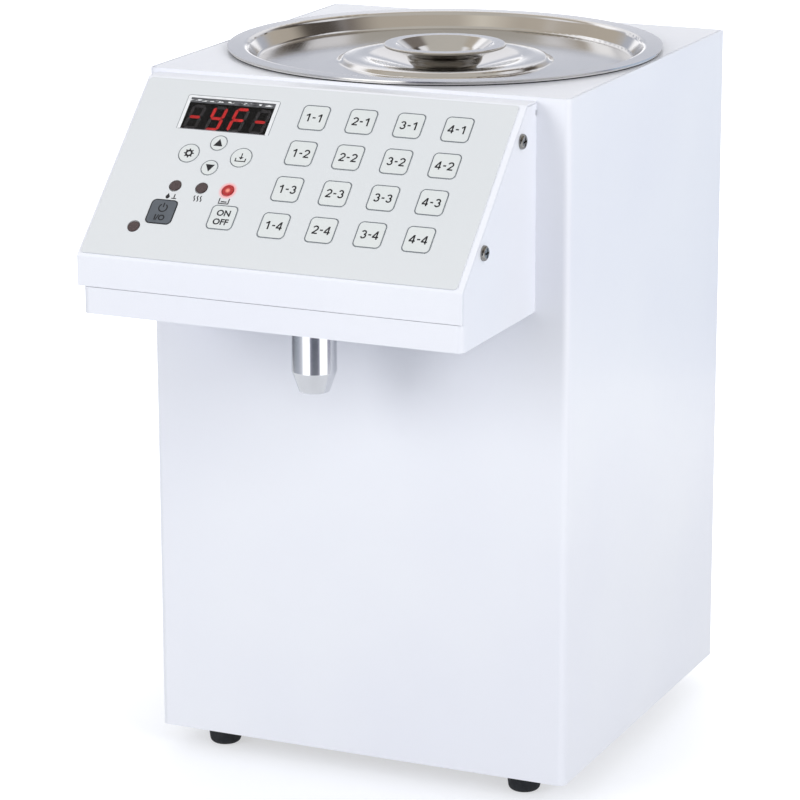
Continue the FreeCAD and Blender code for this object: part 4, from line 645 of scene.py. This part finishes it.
def stroke(points, width):
    """Outline pieces of a pen line: one for each stretch, mitred at the bends."""
    sides = []
    for i, point in enumerate(points):
        here = Vector(point)
        before = Vector(points[i - 1]) if i else here * 2 - Vector(points[1])
        after = Vector(points[i + 1]) if i < len(points) - 1 else here * 2 - before
        first = (here - before).normalized()
        second = (after - here).normalized()
        normal = Vector((-(first + second).y, (first + second).x)).normalized()
        reach = width / 2 / max(normal.dot(Vector((-first.y, first.x))), MITRE_LEAST)
        sides.append((here + normal * reach, here - normal * reach))
    return [[tuple(right), tuple(next_right), tuple(next_left), tuple(left)]
            for (left, right), (next_left, next_right) in zip(sides, sides[1:])]


def arc(radius, start, end, steps, centre=(0, 0)):
    """Points of an arc, its angles in degrees."""
    points = []
    for step in range(steps + 1):
        angle = math.radians(start + (end - start) * step / steps)
        points.append((centre[0] + radius * math.cos(angle), centre[1] + radius * math.sin(angle)))
    return points


def lettering(name, words, height):
    """Mesh of printed characters, middle on the origin, as a thin layer of ink."""
    curve = bpy.data.curves.new(name, "FONT")
    curve.body = words
    curve.size = height / CAP_SHARE
    curve.align_x = "CENTER"
    curve.offset = WORD_WEIGHT
    curve.extrude = (PRINT_T + PRINT_SINK) / 2
    curve.resolution_u = 6
    holder = bpy.data.objects.new(name, curve)
    bpy.context.scene.collection.objects.link(holder)
    bpy.context.view_layer.update()
    evaluated = holder.evaluated_get(bpy.context.evaluated_depsgraph_get())
    mesh = bpy.data.meshes.new_from_object(evaluated)
    bpy.data.objects.remove(holder)
    bpy.data.curves.remove(curve)
    xs = [vertex.co.x for vertex in mesh.vertices]
    ys = [vertex.co.y for vertex in mesh.vertices]
    shift = Vector((-(min(xs) + max(xs)) / 2, -(min(ys) + max(ys)) / 2, (PRINT_T - PRINT_SINK) / 2))
    for vertex in mesh.vertices:
        vertex.co = vertex.co + shift
    mesh.name = name
    return mesh


# ---- Finishes onto the carried-over nodes ----

LAMPS_LOW, LAMPS_HIGH = (Vector(corner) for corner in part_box("indicator_lamps"))
LAMP_PROUD = 0.3 * MM
LIT_LAMP_X = LAMPS_HIGH.x - LAMP_R
LAMP_ROW_UP = (LAMPS_HIGH.z - OUT.z * LAMP_PROUD - FILM_TOP_EDGE.z) / UP.z - LAMP_R
LIT_LAMP = panel_place(LIT_LAMP_X, LAMP_ROW_UP).translation
LONE_LAMP_X = LAMPS_LOW.x + LAMP_R
LONE_LAMP_UP = (LAMPS_LOW.y - OUT.y * LAMP_PROUD - FILM_TOP_EDGE.y) / UP.y + LAMP_R

LID_LOW, LID_HIGH = (Vector(corner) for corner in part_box("lid"))
LID_AXIS = (LID_LOW + LID_HIGH) / 2

FINISHES = {
    "white_enamel": white_enamel(),
    "panel_grey": panel_grey(LIT_LAMP),
    "key_face": key_face(),
    "power_key_grey": power_key_grey(),
    "smoked_lens": smoked_lens(),
    "digit_block": digit_block(),
    "lamp_lens": lamp_lens(LIT_LAMP),
    "polished_steel": polished_steel(LID_AXIS),
    "satin_steel": satin_steel(),
    "screw_steel": screw_steel(),
    "black_rubber": black_rubber(),
    "clear_hose": clear_hose(),
    "seal_black": seal_black(),
    "heater_orange": heater_orange(),
    "board_green": board_green(),
    "pump_brass": pump_brass(),
    "gear_steel": gear_steel(),
    "bracket_steel": bracket_steel(),
    "motor_grey": motor_grey(),
    "supply_case": supply_case(),
    "inlet_black": inlet_black(),
    "sensor_black": sensor_black(),
}
NOZZLE_STEEL = nozzle_steel()

for node_object in frame["nodes"].values():
    for material_slot in node_object.material_slots:
        material_slot.material = FINISHES[material_slot.material.name].material
for material_slot in frame["nodes"]["nozzle"].material_slots:
    material_slot.material = NOZZLE_STEEL.material

OUTLINE_INK = print_ink("outline_ink", srgb(104, 110, 117), srgb(134, 140, 146))
BLACK_INK = print_ink("black_ink", srgb(22, 23, 28), srgb(52, 54, 60))
DARK_INK = print_ink("dark_ink", srgb(20, 22, 28), srgb(38, 42, 50))


# ---- Keys: outline and print ----

def key_width(key):
    """A key's size across the panel; all keys are as high as they are wide."""
    low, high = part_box(key)
    return high[0] - low[0]


def print_on_key(name, key, mesh, ink, up=0.0):
    """A printed mark on a key's face, which moves with the key."""
    x, y = middle_on_panel(key)
    show(name, mesh, panel_place(x, y + up, KEY_PROUD), ink, key)


def outline_key(key, radius, band, ink=OUTLINE_INK):
    width = key_width(key)
    mesh = ridge(f"{key}_outline", width, width, radius, band, OUTLINE_H)
    print_on_key(f"{key}_outline", key, mesh, ink)


def triangle_mark(pointing):
    """A solid arrowhead; pointing is 1 up the slope and -1 down it."""
    corners = ((0, 2.7), (-2.8, -2.1), (2.8, -2.1))
    return [[(x * pointing * MM, y * pointing * MM) for x, y in corners]]


def gear_mark():
    """A settings wheel: eight teeth round a ring."""
    step = TURN / 8
    root, tip, bore = 2.3 * MM, 3.1 * MM, 1.15 * MM
    knots = ((root, -0.5), (root, -0.22), (tip, -0.15), (tip, 0.15), (root, 0.22), (root, 0.5),
             (bore, 0.5), (bore, 0.0), (bore, -0.5))
    return [[polar(r, (tooth + share) * step) for r, share in knots] for tooth in range(8)]


def save_mark():
    """An arrow down into a tray."""
    wall, rim, floor = 3.0 * MM, -0.4 * MM, -2.5 * MM
    tray = [(-wall, rim), (-wall, floor), (wall, floor), (wall, rim)]
    shaft = [(0, 2.9 * MM), (0, 0.1 * MM)]
    head = [(0, -1.35 * MM), (1.5 * MM, 0.3 * MM), (-1.5 * MM, 0.3 * MM)]
    return stroke(tray, SIGN_PEN) + stroke(shaft, SIGN_PEN) + [head]


def power_mark():
    """The standby sign: an open ring with a bar through its gap."""
    ring = arc(2.5 * MM, 122, 418, 36)
    bar = [(0, 3.4 * MM), (0, 0.4 * MM)]
    return stroke(ring, BOLD_SIGN_PEN) + stroke(bar, BOLD_SIGN_PEN)


NUMERAL_LINES = {               # centre lines of each figure, in shares of half its height
    "1": [[(-0.48, 0.5), (-0.12, 0.6), (0.14, 0.92)], [(0.17, 1.0), (0.17, -1.0)]],
    "2": [arc(0.5, 165, -32, 18, (0.0, 0.36)) + [(-0.5, -0.84)], [(-0.62, -0.86), (0.6, -0.86)]],
    "3": [arc(0.44, 160, -85, 18, (-0.02, 0.42)), arc(0.5, 80, -160, 18, (-0.02, -0.36))],
    "4": [[(0.26, 1.0), (0.26, -1.0)], [(0.2, 0.86), (-0.6, -0.4)],
          [(-0.72, -0.46), (0.62, -0.46)]],
}


def dose_numerals(left, right):
    """Two figures with a hyphen between them."""
    outlines = stroke([(-HYPHEN_W / 2, 0.0), (HYPHEN_W / 2, 0.0)], NUMERAL_PEN)
    for figure, middle in ((left, -NUMERAL_REACH), (right, NUMERAL_REACH)):
        for line in NUMERAL_LINES[figure]:
            points = [(middle + x * NUMERAL_H / 2, y * NUMERAL_H / 2) for x, y in line]
            outlines += stroke(points, NUMERAL_PEN)
    return outlines


def print_sign(name, key, outlines, ink, up=0.0):
    print_on_key(name, key, plate(name, outlines), ink, up)


def print_words(name, key, words, height, up):
    print_on_key(name, key, lettering(name, words, height), DARK_INK, up)


for column in "1234":
    for row in "1234":
        key = f"dose_key_{column}_{row}"
        outline_key(key, DOSE_CORNER_R, OUTLINE_W)
        print_sign(f"{key}_numerals", key, dose_numerals(column, row), BLACK_INK)

for key in ("up_key", "down_key", "set_key", "save_key"):
    outline_key(key, key_width(key) / 2, FINE_OUTLINE_W)
print_sign("up_key_mark", "up_key", triangle_mark(1), DARK_INK)
print_sign("down_key_mark", "down_key", triangle_mark(-1), DARK_INK)
print_sign("set_key_mark", "set_key", gear_mark(), BLACK_INK)
print_sign("save_key_mark", "save_key", save_mark(), BLACK_INK)

outline_key("manual_key", DOSE_CORNER_R, OUTLINE_W)
print_words("manual_key_on", "manual_key", "ON", MANUAL_WORD_H, MANUAL_LINE_UP)
print_words("manual_key_off", "manual_key", "OFF", MANUAL_WORD_H, -MANUAL_LINE_UP)

outline_key("power_key", DOSE_CORNER_R, OUTLINE_W, DARK_INK)
print_sign("power_key_mark", "power_key", power_mark(), DARK_INK, POWER_MARK_UP)
print_words("power_key_switch", "power_key", "I/O", POWER_WORD_H, POWER_WORD_UP)


# ---- Lamps: dark rings painted as the shaded gap round them, and the small signs under them ----

LAMP_GAP_SHADE_W = 0.25 * MM
LAMP_GAP_SHADE_H = 0.12 * MM
LAMP_SIGN_DROP = 7.0 * MM


def drop_mark():
    """A drop of syrup beside a short level line."""
    drop = arc(1.25 * MM, 150, 390, 16, (-2.1 * MM, -0.5 * MM)) + [(-2.1 * MM, 2.0 * MM)]
    level = stroke([(0.4 * MM, -1.3 * MM), (3.5 * MM, -1.3 * MM)], SIGN_PEN)
    rise = stroke([(1.95 * MM, -1.2 * MM), (1.95 * MM, 1.7 * MM)], SIGN_PEN)
    return [drop] + level + rise


def heat_mark():
    """Three rising waves."""
    swing, height, steps = 0.42 * MM, 3.8 * MM, 10
    outlines = []
    for x in (-2.0 * MM, 0.0, 2.0 * MM):
        wave = [(x + swing * math.sin(step / steps * TURN), (step / steps - 0.5) * height)
                for step in range(steps + 1)]
        outlines += stroke(wave, SIGN_PEN)
    return outlines


def tank_mark():
    """A tank with its level low."""
    wall, rim, floor = 2.9 * MM, 1.8 * MM, -1.7 * MM
    tank = [(-wall, rim), (-wall, floor), (wall, floor), (wall, rim)]
    level = [(-1.8 * MM, -0.5 * MM), (1.8 * MM, -0.5 * MM)]
    return stroke(tank, SIGN_PEN) + stroke(level, BOLD_SIGN_PEN)


LAMP_ROW = [(LIT_LAMP_X - left * LAMP_PITCH, LAMP_ROW_UP) for left in (2, 1, 0)]
# Each dark ring is painted shade: it stands for the gap round a lamp's lens, dark in shadow.
for number, (lamp_x, lamp_up) in enumerate(LAMP_ROW + [(LONE_LAMP_X, LONE_LAMP_UP)], start=1):
    name = f"lamp_gap_shade_{number}"
    gap_shade_r = LAMP_R + LAMP_GAP_SHADE_W
    rim = ridge(name, 2 * gap_shade_r, 2 * gap_shade_r, gap_shade_r, LAMP_GAP_SHADE_W, LAMP_GAP_SHADE_H)
    show(name, rim, panel_place(lamp_x, lamp_up), FINISHES["seal_black"], "cabinet")
LAMP_SIGNS = (drop_mark(), heat_mark(), tank_mark())
for number, (sign, (lamp_x, lamp_up)) in enumerate(zip(LAMP_SIGNS, LAMP_ROW), start=1):
    name = f"lamp_sign_{number}"
    place = panel_place(lamp_x, lamp_up - LAMP_SIGN_DROP)
    show(name, plate(name, sign), place, BLACK_INK, "cabinet")


# ---- Display: lens, mask, digits and frame ----

WINDOW_LOW, WINDOW_HIGH = (Vector(corner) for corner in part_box("display_window"))
WINDOW_X, WINDOW_UP = middle_on_panel("display_window")
WINDOW_W = WINDOW_HIGH.x - WINDOW_LOW.x
WINDOW_T = 0.7 * MM
WINDOW_H = (WINDOW_HIGH.z - WINDOW_LOW.z - WINDOW_T * OUT.z) / UP.z
HALF_W, HALF_H = WINDOW_W / 2, WINDOW_H / 2
WINDOW_R = 1.2 * MM
LENS_BACK = -0.5 * MM
LENS_FACE = WINDOW_T - FILM_T
LENS_CHAMFER = 0.12 * MM
DIGIT_FACE = -FILM_T - 0.3 * MM
SEGMENT_SINK = 0.02 * MM
LIT_RISE = 0.06 * MM
DARK_RISE = 0.04 * MM
SHADE_H = 3.3 * MM
FRAME_LEFT = 2.0 * MM           # widths of the pale frame's strips over the lens
FRAME_TOP = 1.5 * MM
FRAME_RIGHT = 1.0 * MM
FRAME_OVER_FILM = 1.1 * MM      # its right strip also lies this far over the film
FRAME_RISE = 0.16 * MM
FRAME_LINE_W = 0.35 * MM
FRAME_LINE_RISE = 0.05 * MM


def lens_mesh(name):
    """The window's plate, chamfered round its front."""
    made = bmesh.new()
    levels = ((0.0, LENS_BACK), (0.0, LENS_FACE - LENS_CHAMFER), (LENS_CHAMFER, LENS_FACE))
    rows = [row_of(made, rounded_loop(WINDOW_W, WINDOW_H, WINDOW_R, inset), z)
            for inset, z in levels]
    for row, following in zip(rows, rows[1:]):
        join_rows(made, row, following)
    made.faces.new(list(reversed(rows[0])))
    made.faces.new(rows[-1])
    return finished(name, made)


def open_frame(name, left, right, low, high, widths, radius, rise):
    """A raised strip up the left side, along the top and down the right, open at the bottom.

    The box is its outer edge; widths are those of the left, top and right strips."""
    left_w, top_w, right_w = widths
    profile = ((0.0, -PRINT_SINK), (0.0, 0.5 * rise), (0.2, rise),
               (0.8, rise), (1.0, 0.5 * rise), (1.0, -PRINT_SINK))
    made = bmesh.new()
    rows = []
    for share, z in profile:
        x0, x1, y1 = left + share * left_w, right - share * right_w, high - share * top_w
        r = max(radius * (1 - share), SMALLEST_R)
        path = [(x0, low)]
        path += arc(r, 180, 90, ROUND_STEPS, (x0 + r, y1 - r))
        path += arc(r, 90, 0, ROUND_STEPS, (x1 - r, y1 - r))
        path.append((x1, low))
        rows.append(row_of(made, path, z))
    for row, following in zip(rows, rows[1:] + rows[:1]):
        join_rows(made, row, following, closed=False)
    for end in (0, -1):
        made.faces.new([row[end] for row in rows])
    return finished(name, made)


def segment_outlines():
    """Outline of each of a digit's seven segments, slanted, middle on the origin."""
    half_w = DIGIT_W / 2 - SEGMENT_W / 2
    half_h = DIGIT_H / 2 - SEGMENT_W / 2
    half_t = SEGMENT_W / 2

    def level(y):
        reach = half_w - SEGMENT_GAP
        tips = ((-reach, 0), (-reach + half_t, -half_t), (reach - half_t, -half_t),
                (reach, 0), (reach - half_t, half_t), (-reach + half_t, half_t))
        return [(x, y + dy) for x, dy in tips]

    def upright(x, low, high):
        low += SEGMENT_GAP
        high -= SEGMENT_GAP
        return [(x, low), (x + half_t, low + half_t), (x + half_t, high - half_t),
                (x, high), (x - half_t, high - half_t), (x - half_t, low + half_t)]

    shapes = {
        "a": level(half_h), "g": level(0.0), "d": level(-half_h),
        "b": upright(half_w, 0.0, half_h), "c": upright(half_w, -half_h, 0.0),
        "f": upright(-half_w, 0.0, half_h), "e": upright(-half_w, -half_h, 0.0),
    }
    return {name: [(x + y * DIGIT_SLANT, y) for x, y in shape] for name, shape in shapes.items()}


def show_on_window(name, mesh, finish):
    return show(name, mesh, panel_place(WINDOW_X, WINDOW_UP), finish, "cabinet")


def show_segments():
    """The lit and the unlit segments of all the digits."""
    lit, dark = [], []
    for place, digit in enumerate(DIGITS):
        middle = DIGIT_ACROSS + (place - (len(DIGITS) - 1) / 2) * DIGIT_PITCH
        for name, shape in segment_outlines().items():
            chosen = lit if name in SEGMENTS_OF[digit] else dark
            chosen.append([(x + middle, y + DIGIT_UP) for x, y in shape])
    for name, outlines, rise, finish in (
            ("display_lit_segments", lit, LIT_RISE, glowing_segment()),
            ("display_dark_segments", dark, DARK_RISE, dark_segment())):
        mesh = plate(name, outlines, DIGIT_FACE - SEGMENT_SINK, DIGIT_FACE + rise)
        show_on_window(name, mesh, finish)


def show_frame():
    """The pale frame round the window, with a thin dark line round it."""
    right = HALF_W + FRAME_OVER_FILM
    widths = (FRAME_LEFT, FRAME_TOP, FRAME_RIGHT + FRAME_OVER_FILM)
    band = open_frame("display_frame", -HALF_W, right, -HALF_H, HALF_H, widths, WINDOW_R,
                      FRAME_RISE)
    show_on_window("display_frame", band, frame_silver())
    line = FRAME_LINE_W
    edge = open_frame("display_frame_line", -HALF_W - line, right + line, -HALF_H, HALF_H + line,
                      (line, line, line), WINDOW_R + line, FRAME_LINE_RISE)
    show_on_window("display_frame_line", edge, OUTLINE_INK)


LENS = show_on_window("display_lens", lens_mesh("display_lens"), FINISHES["smoked_lens"])
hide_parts("display_window")

SHADE_LEFT, SHADE_RIGHT = FRAME_LEFT - HALF_W, HALF_W - FRAME_RIGHT
SHADE_TOP = HALF_H - FRAME_TOP
SHADE_FOOT = SHADE_TOP - SHADE_H
SHADE = plate("display_shade", [[(SHADE_LEFT, SHADE_FOOT), (SHADE_RIGHT, SHADE_FOOT),
                                 (SHADE_RIGHT, SHADE_TOP), (SHADE_LEFT, SHADE_TOP)]],
              LENS_FACE - PRINT_SINK, LENS_FACE + PRINT_T)
show_on_window("display_shade", SHADE, speckled_edge(SHADE_TOP - SHADE_H / 2, SHADE_H / 4))
show_segments()
show_frame()


# ---- Studio ----

CIRCLE_STEPS = 96
FLOOR_R = 7.0
FLOOR_DROP = 0.2 * MM
FLOOR_GLOW = 0.56               # what the floor adds for the camera close to the object
FLOOR_SHEEN = 0.48              # the same for mirror-like surfaces; both reach 1 further out
FLOOR_NEAR = 0.12               # distances from the object's middle, for the fades between them
FLOOR_FAR = 0.36
FLOOR_FARTHER = 1.0
TENT_R = 0.95
TENT_H = 1.6
ROOF_FADE = (0.72 * TENT_R, 0.9 * TENT_R)
WORLD_COLOUR = (0.99, 0.995, 1.0, 1)
WORLD_LEVEL = 0.52
LAMP_TARGET = Vector((0, 0, 0.25))
LAMPS = (                       # name, place, size and power
    ("left_softbox", (-1.9, -2.9, 1.35), 1.9, 59.0),
    ("right_softbox", (3.1, -1.3, 1.6), 1.8, 74.0),
    ("back_softbox", (-1.5, 3.0, 1.4), 1.9, 42.0),
)


def floor_finish():
    """Pale studio floor: reads white away from the object and keeps its shadow."""
    f = Finish("studio_floor", srgb(176, 179, 186), 0.6)
    f.tint(f.range(f.noise(3.0, 3.0), 0.4, 0.7), srgb(173, 176, 183), 0.6)
    f.rough(f.noise(40.0, 3.0), 0.55, 0.7)
    f.set(Specular_IOR_Level=0.2, Emission_Color=(1, 1, 1, 1))
    away = f.distance_to((0, 0, 0), flatten=(1, 1, 0))
    ray = f.add("ShaderNodeLightPath").outputs
    straight = f.math("MAXIMUM", ray["Is Camera Ray"], ray["Is Transmission Ray"])
    glow = f.range(away, FLOOR_NEAR, FLOOR_FAR, FLOOR_GLOW, 1.0, smooth=True)
    sheen = f.range(away, FLOOR_FAR, FLOOR_FARTHER, FLOOR_SHEEN, 1.0, smooth=True)
    f.set(Emission_Strength=f.math("ADD", f.math("MULTIPLY", straight, glow),
                                   f.math("MULTIPLY", ray["Is Glossy Ray"], sheen)))
    return f.material


def make_floor():
    mesh = bpy.data.meshes.new("floor")
    made = bmesh.new()
    bmesh.ops.create_circle(made, cap_ends=True, segments=CIRCLE_STEPS, radius=FLOOR_R)
    made.to_mesh(mesh)
    made.free()
    floor = bpy.data.objects.new("floor", mesh)
    floor.location = (0, 0, -FLOOR_DROP)
    bpy.context.scene.collection.objects.link(floor)
    mesh.materials.append(floor_finish())


def make_tent():
    """Cloth and dark card standing round and over the object, seen only in its reflections."""
    made = bmesh.new()
    circle = [polar(TENT_R, TURN * i / CIRCLE_STEPS) for i in range(CIRCLE_STEPS)]
    foot = row_of(made, circle, 0.0)
    top = row_of(made, circle, TENT_H)
    join_rows(made, foot, top)
    made.faces.new(top)
    mesh = finished("tent", made)
    tent = bpy.data.objects.new("tent", mesh)
    bpy.context.scene.collection.objects.link(tent)
    tent.visible_camera = False
    tent.visible_diffuse = False
    tent.visible_transmission = False
    tent.visible_shadow = False
    tent.visible_volume_scatter = False
    mesh.materials.append(tent_finish())


# Colours of the tent's cloth and card, in light given off
WHITE_CLOTH = (1.9, 1.9, 1.9)
LIT_CLOTH = (1.4, 1.4, 1.45)
DIM_CLOTH = (1.1, 1.1, 1.15)
PALE_CARD = (0.78, 0.8, 0.88)
SLATE = (0.27, 0.3, 0.35)
EDGE_SHADE = (0.17, 0.18, 0.22)
GREY_CARD = (0.43, 0.46, 0.53)
DARK_CARD = (0.11, 0.12, 0.16)
PLUM_CARD = (0.3, 0.3, 0.4)
PALE_BLUE = (0.6, 0.72, 0.9)
SKY_GREY = (0.56, 0.59, 0.68)
STEEL_GREY = (0.62, 0.63, 0.68)
BEIGE = (0.61, 0.55, 0.47)
LIGHT_BEIGE = (0.88, 0.82, 0.72)
UMBER = (0.09, 0.075, 0.065)
BROWN = (0.14, 0.12, 0.105)
SHADED_BEIGE = (0.24, 0.21, 0.19)
CEILING = (0.66, 0.63, 0.58)
SIDE_LIGHT = (1.15, 1.15, 1.2)
BRIGHT_WALL = (1.45, 1.45, 1.5)

# Each row of the tent has the two heights between which it takes over from the row below it, and
# its stops: bearing from the camera's side in degrees anticlockwise, and colour.
TENT_ROWS = (
    (0.0, 0.0, (
        (-180, EDGE_SHADE), (-112, EDGE_SHADE), (-104, SLATE), (-77, GREY_CARD),
        (-56, PALE_CARD), (-50, WHITE_CLOTH), (-22, WHITE_CLOTH), (-19, PLUM_CARD),
        (-8, DARK_CARD), (12, DARK_CARD), (21, PLUM_CARD), (26, WHITE_CLOTH), (61, WHITE_CLOTH),
        (64, PLUM_CARD), (88, PLUM_CARD), (96, PALE_BLUE), (180, PALE_BLUE))),
    (0.34, 0.42, (
        (-180, LIT_CLOTH), (-70, LIT_CLOTH), (-42, BROWN), (42, BROWN), (70, LIT_CLOTH),
        (180, LIT_CLOTH))),
    (0.53, 0.55, (
        (-180, SKY_GREY), (-150, SKY_GREY), (-130, STEEL_GREY), (-70, STEEL_GREY), (-42, BROWN),
        (42, BROWN), (70, STEEL_GREY), (130, STEEL_GREY), (150, SKY_GREY), (180, SKY_GREY))),
    (0.61, 0.66, (
        (-180, DIM_CLOTH), (-165, DIM_CLOTH), (-155, STEEL_GREY), (-140, BEIGE), (-60, BEIGE),
        (-40, BROWN), (40, BROWN), (60, BEIGE), (140, BEIGE), (155, STEEL_GREY),
        (165, DIM_CLOTH), (180, DIM_CLOTH))),
    (0.88, 0.98, (
        (-180, LIGHT_BEIGE), (-168, BRIGHT_WALL), (-140, BRIGHT_WALL), (-128, BEIGE),
        (-60, BEIGE), (-40, BROWN), (40, BROWN), (52, BEIGE), (72, SHADED_BEIGE), (86, UMBER),
        (138, UMBER), (148, SHADED_BEIGE), (160, SHADED_BEIGE), (168, BEIGE),
        (180, LIGHT_BEIGE))),
    (1.2, 1.3, (
        (-180, BEIGE), (-130, BEIGE), (-110, SIDE_LIGHT), (-100, SIDE_LIGHT), (-80, BEIGE),
        (-60, BEIGE), (-30, LIGHT_BEIGE), (-10, BEIGE), (55, BEIGE), (78, SHADED_BEIGE),
        (98, SIDE_LIGHT), (128, SIDE_LIGHT), (138, SHADED_BEIGE), (156, SHADED_BEIGE),
        (168, BEIGE), (180, BEIGE))),
)


def colour_ramp(f, turn_share, stops):
    """Colours all round; a stop's place is its bearing, from -180 to 180."""
    ramp = f.add("ShaderNodeValToRGB", Fac=turn_share)
    points = ramp.color_ramp.elements
    while len(points) < len(stops):
        points.new(0.5)
    for point, (bearing, colour) in zip(points, stops):
        point.position = bearing / 360 + 0.5
        point.color = (*colour, 1)
    return ramp.outputs[0]


def tent_finish():
    """Brightness of the tent by the bearing round the object and by height."""
    f = Finish("tent", (0, 0, 0, 1), 1.0)
    x, y, z = (f.axis(name) for name in "XYZ")
    toward = Vector((CAMERA_PLACE.x, CAMERA_PLACE.y)).normalized()
    ahead = f.math("ADD", f.math("MULTIPLY", x, toward.x), f.math("MULTIPLY", y, toward.y))
    aside = f.math("SUBTRACT", f.math("MULTIPLY", y, toward.x), f.math("MULTIPLY", x, toward.y))
    turn_share = f.range(f.math("ARCTAN2", aside, ahead), -math.pi, math.pi)
    colour = colour_ramp(f, turn_share, TENT_ROWS[0][2])
    for low, high, stops in TENT_ROWS[1:]:
        colour = f.blend(f.range(z, low, high), colour, colour_ramp(f, turn_share, stops))
    away = f.distance_to((0, 0, 0), flatten=(1, 1, 0))
    colour = f.blend(f.range(away, *ROOF_FADE, 1.0, 0.0), colour, (*CEILING, 1))
    f.set(Specular_IOR_Level=0.0, Emission_Strength=1.0, Emission_Color=colour)
    return f.material


def soft_lamp(name, place, size, power):
    """A square softbox facing the object, kept out of its reflections."""
    data = bpy.data.lights.new(name, "AREA")
    data.shape = "SQUARE"
    data.size = size
    data.energy = power
    lamp = bpy.data.objects.new(name, data)
    lamp.location = place
    lamp.rotation_euler = (LAMP_TARGET - Vector(place)).to_track_quat("-Z", "Y").to_euler()
    lamp.visible_glossy = False
    bpy.context.scene.collection.objects.link(lamp)


def make_world():
    """Even light from all round; the camera, mirrors and glass see plain white there."""
    world = bpy.data.worlds.new("studio")
    bpy.context.scene.world = world
    world.use_nodes = True
    tree = world.node_tree
    tree.nodes.clear()
    seen = tree.nodes.new("ShaderNodeLightPath")
    backdrop = seen.outputs["Is Camera Ray"]
    for ray in ("Is Transmission Ray", "Is Glossy Ray"):
        either = tree.nodes.new("ShaderNodeMath")
        either.operation = "MAXIMUM"
        tree.links.new(backdrop, either.inputs[0])
        tree.links.new(seen.outputs[ray], either.inputs[1])
        backdrop = either.outputs[0]
    mix = tree.nodes.new("ShaderNodeMixShader")
    tree.links.new(backdrop, mix.inputs[0])
    for socket, colour, strength in ((mix.inputs[1], WORLD_COLOUR, WORLD_LEVEL),
                                     (mix.inputs[2], (1, 1, 1, 1), 1.0)):
        shown = tree.nodes.new("ShaderNodeBackground")
        shown.inputs["Color"].default_value = colour
        shown.inputs["Strength"].default_value = strength
        tree.links.new(shown.outputs[0], socket)
    out = tree.nodes.new("ShaderNodeOutputWorld")
    tree.links.new(mix.outputs[0], out.inputs[0])


def make_camera():
    """The photograph's view: yaw from +Y, pitch downwards, then a slight roll."""
    data = bpy.data.cameras.new("camera")
    data.sensor_width = SENSOR_WIDTH
    data.lens = FOCAL_LENGTH
    data.clip_end = CLIP_END
    camera = bpy.data.objects.new("camera", data)
    ahead = Vector((math.sin(CAMERA_YAW) * math.cos(CAMERA_PITCH),
                    math.cos(CAMERA_YAW) * math.cos(CAMERA_PITCH), -math.sin(CAMERA_PITCH)))
    level = Vector((math.cos(CAMERA_YAW), -math.sin(CAMERA_YAW), 0))
    above = level.cross(ahead)
    right = level * math.cos(CAMERA_ROLL) + above * math.sin(CAMERA_ROLL)
    up = above * math.cos(CAMERA_ROLL) - level * math.sin(CAMERA_ROLL)
    turn = Matrix((right, up, -ahead)).transposed().to_4x4()
    camera.matrix_world = Matrix.Translation(CAMERA_PLACE) @ turn
    bpy.context.scene.collection.objects.link(camera)
    bpy.context.scene.camera = camera


make_floor()
make_tent()
make_world()
for lamp in LAMPS:
    soft_lamp(*lamp)
make_camera()
bpy.context.scene.view_settings.view_transform = "Standard"
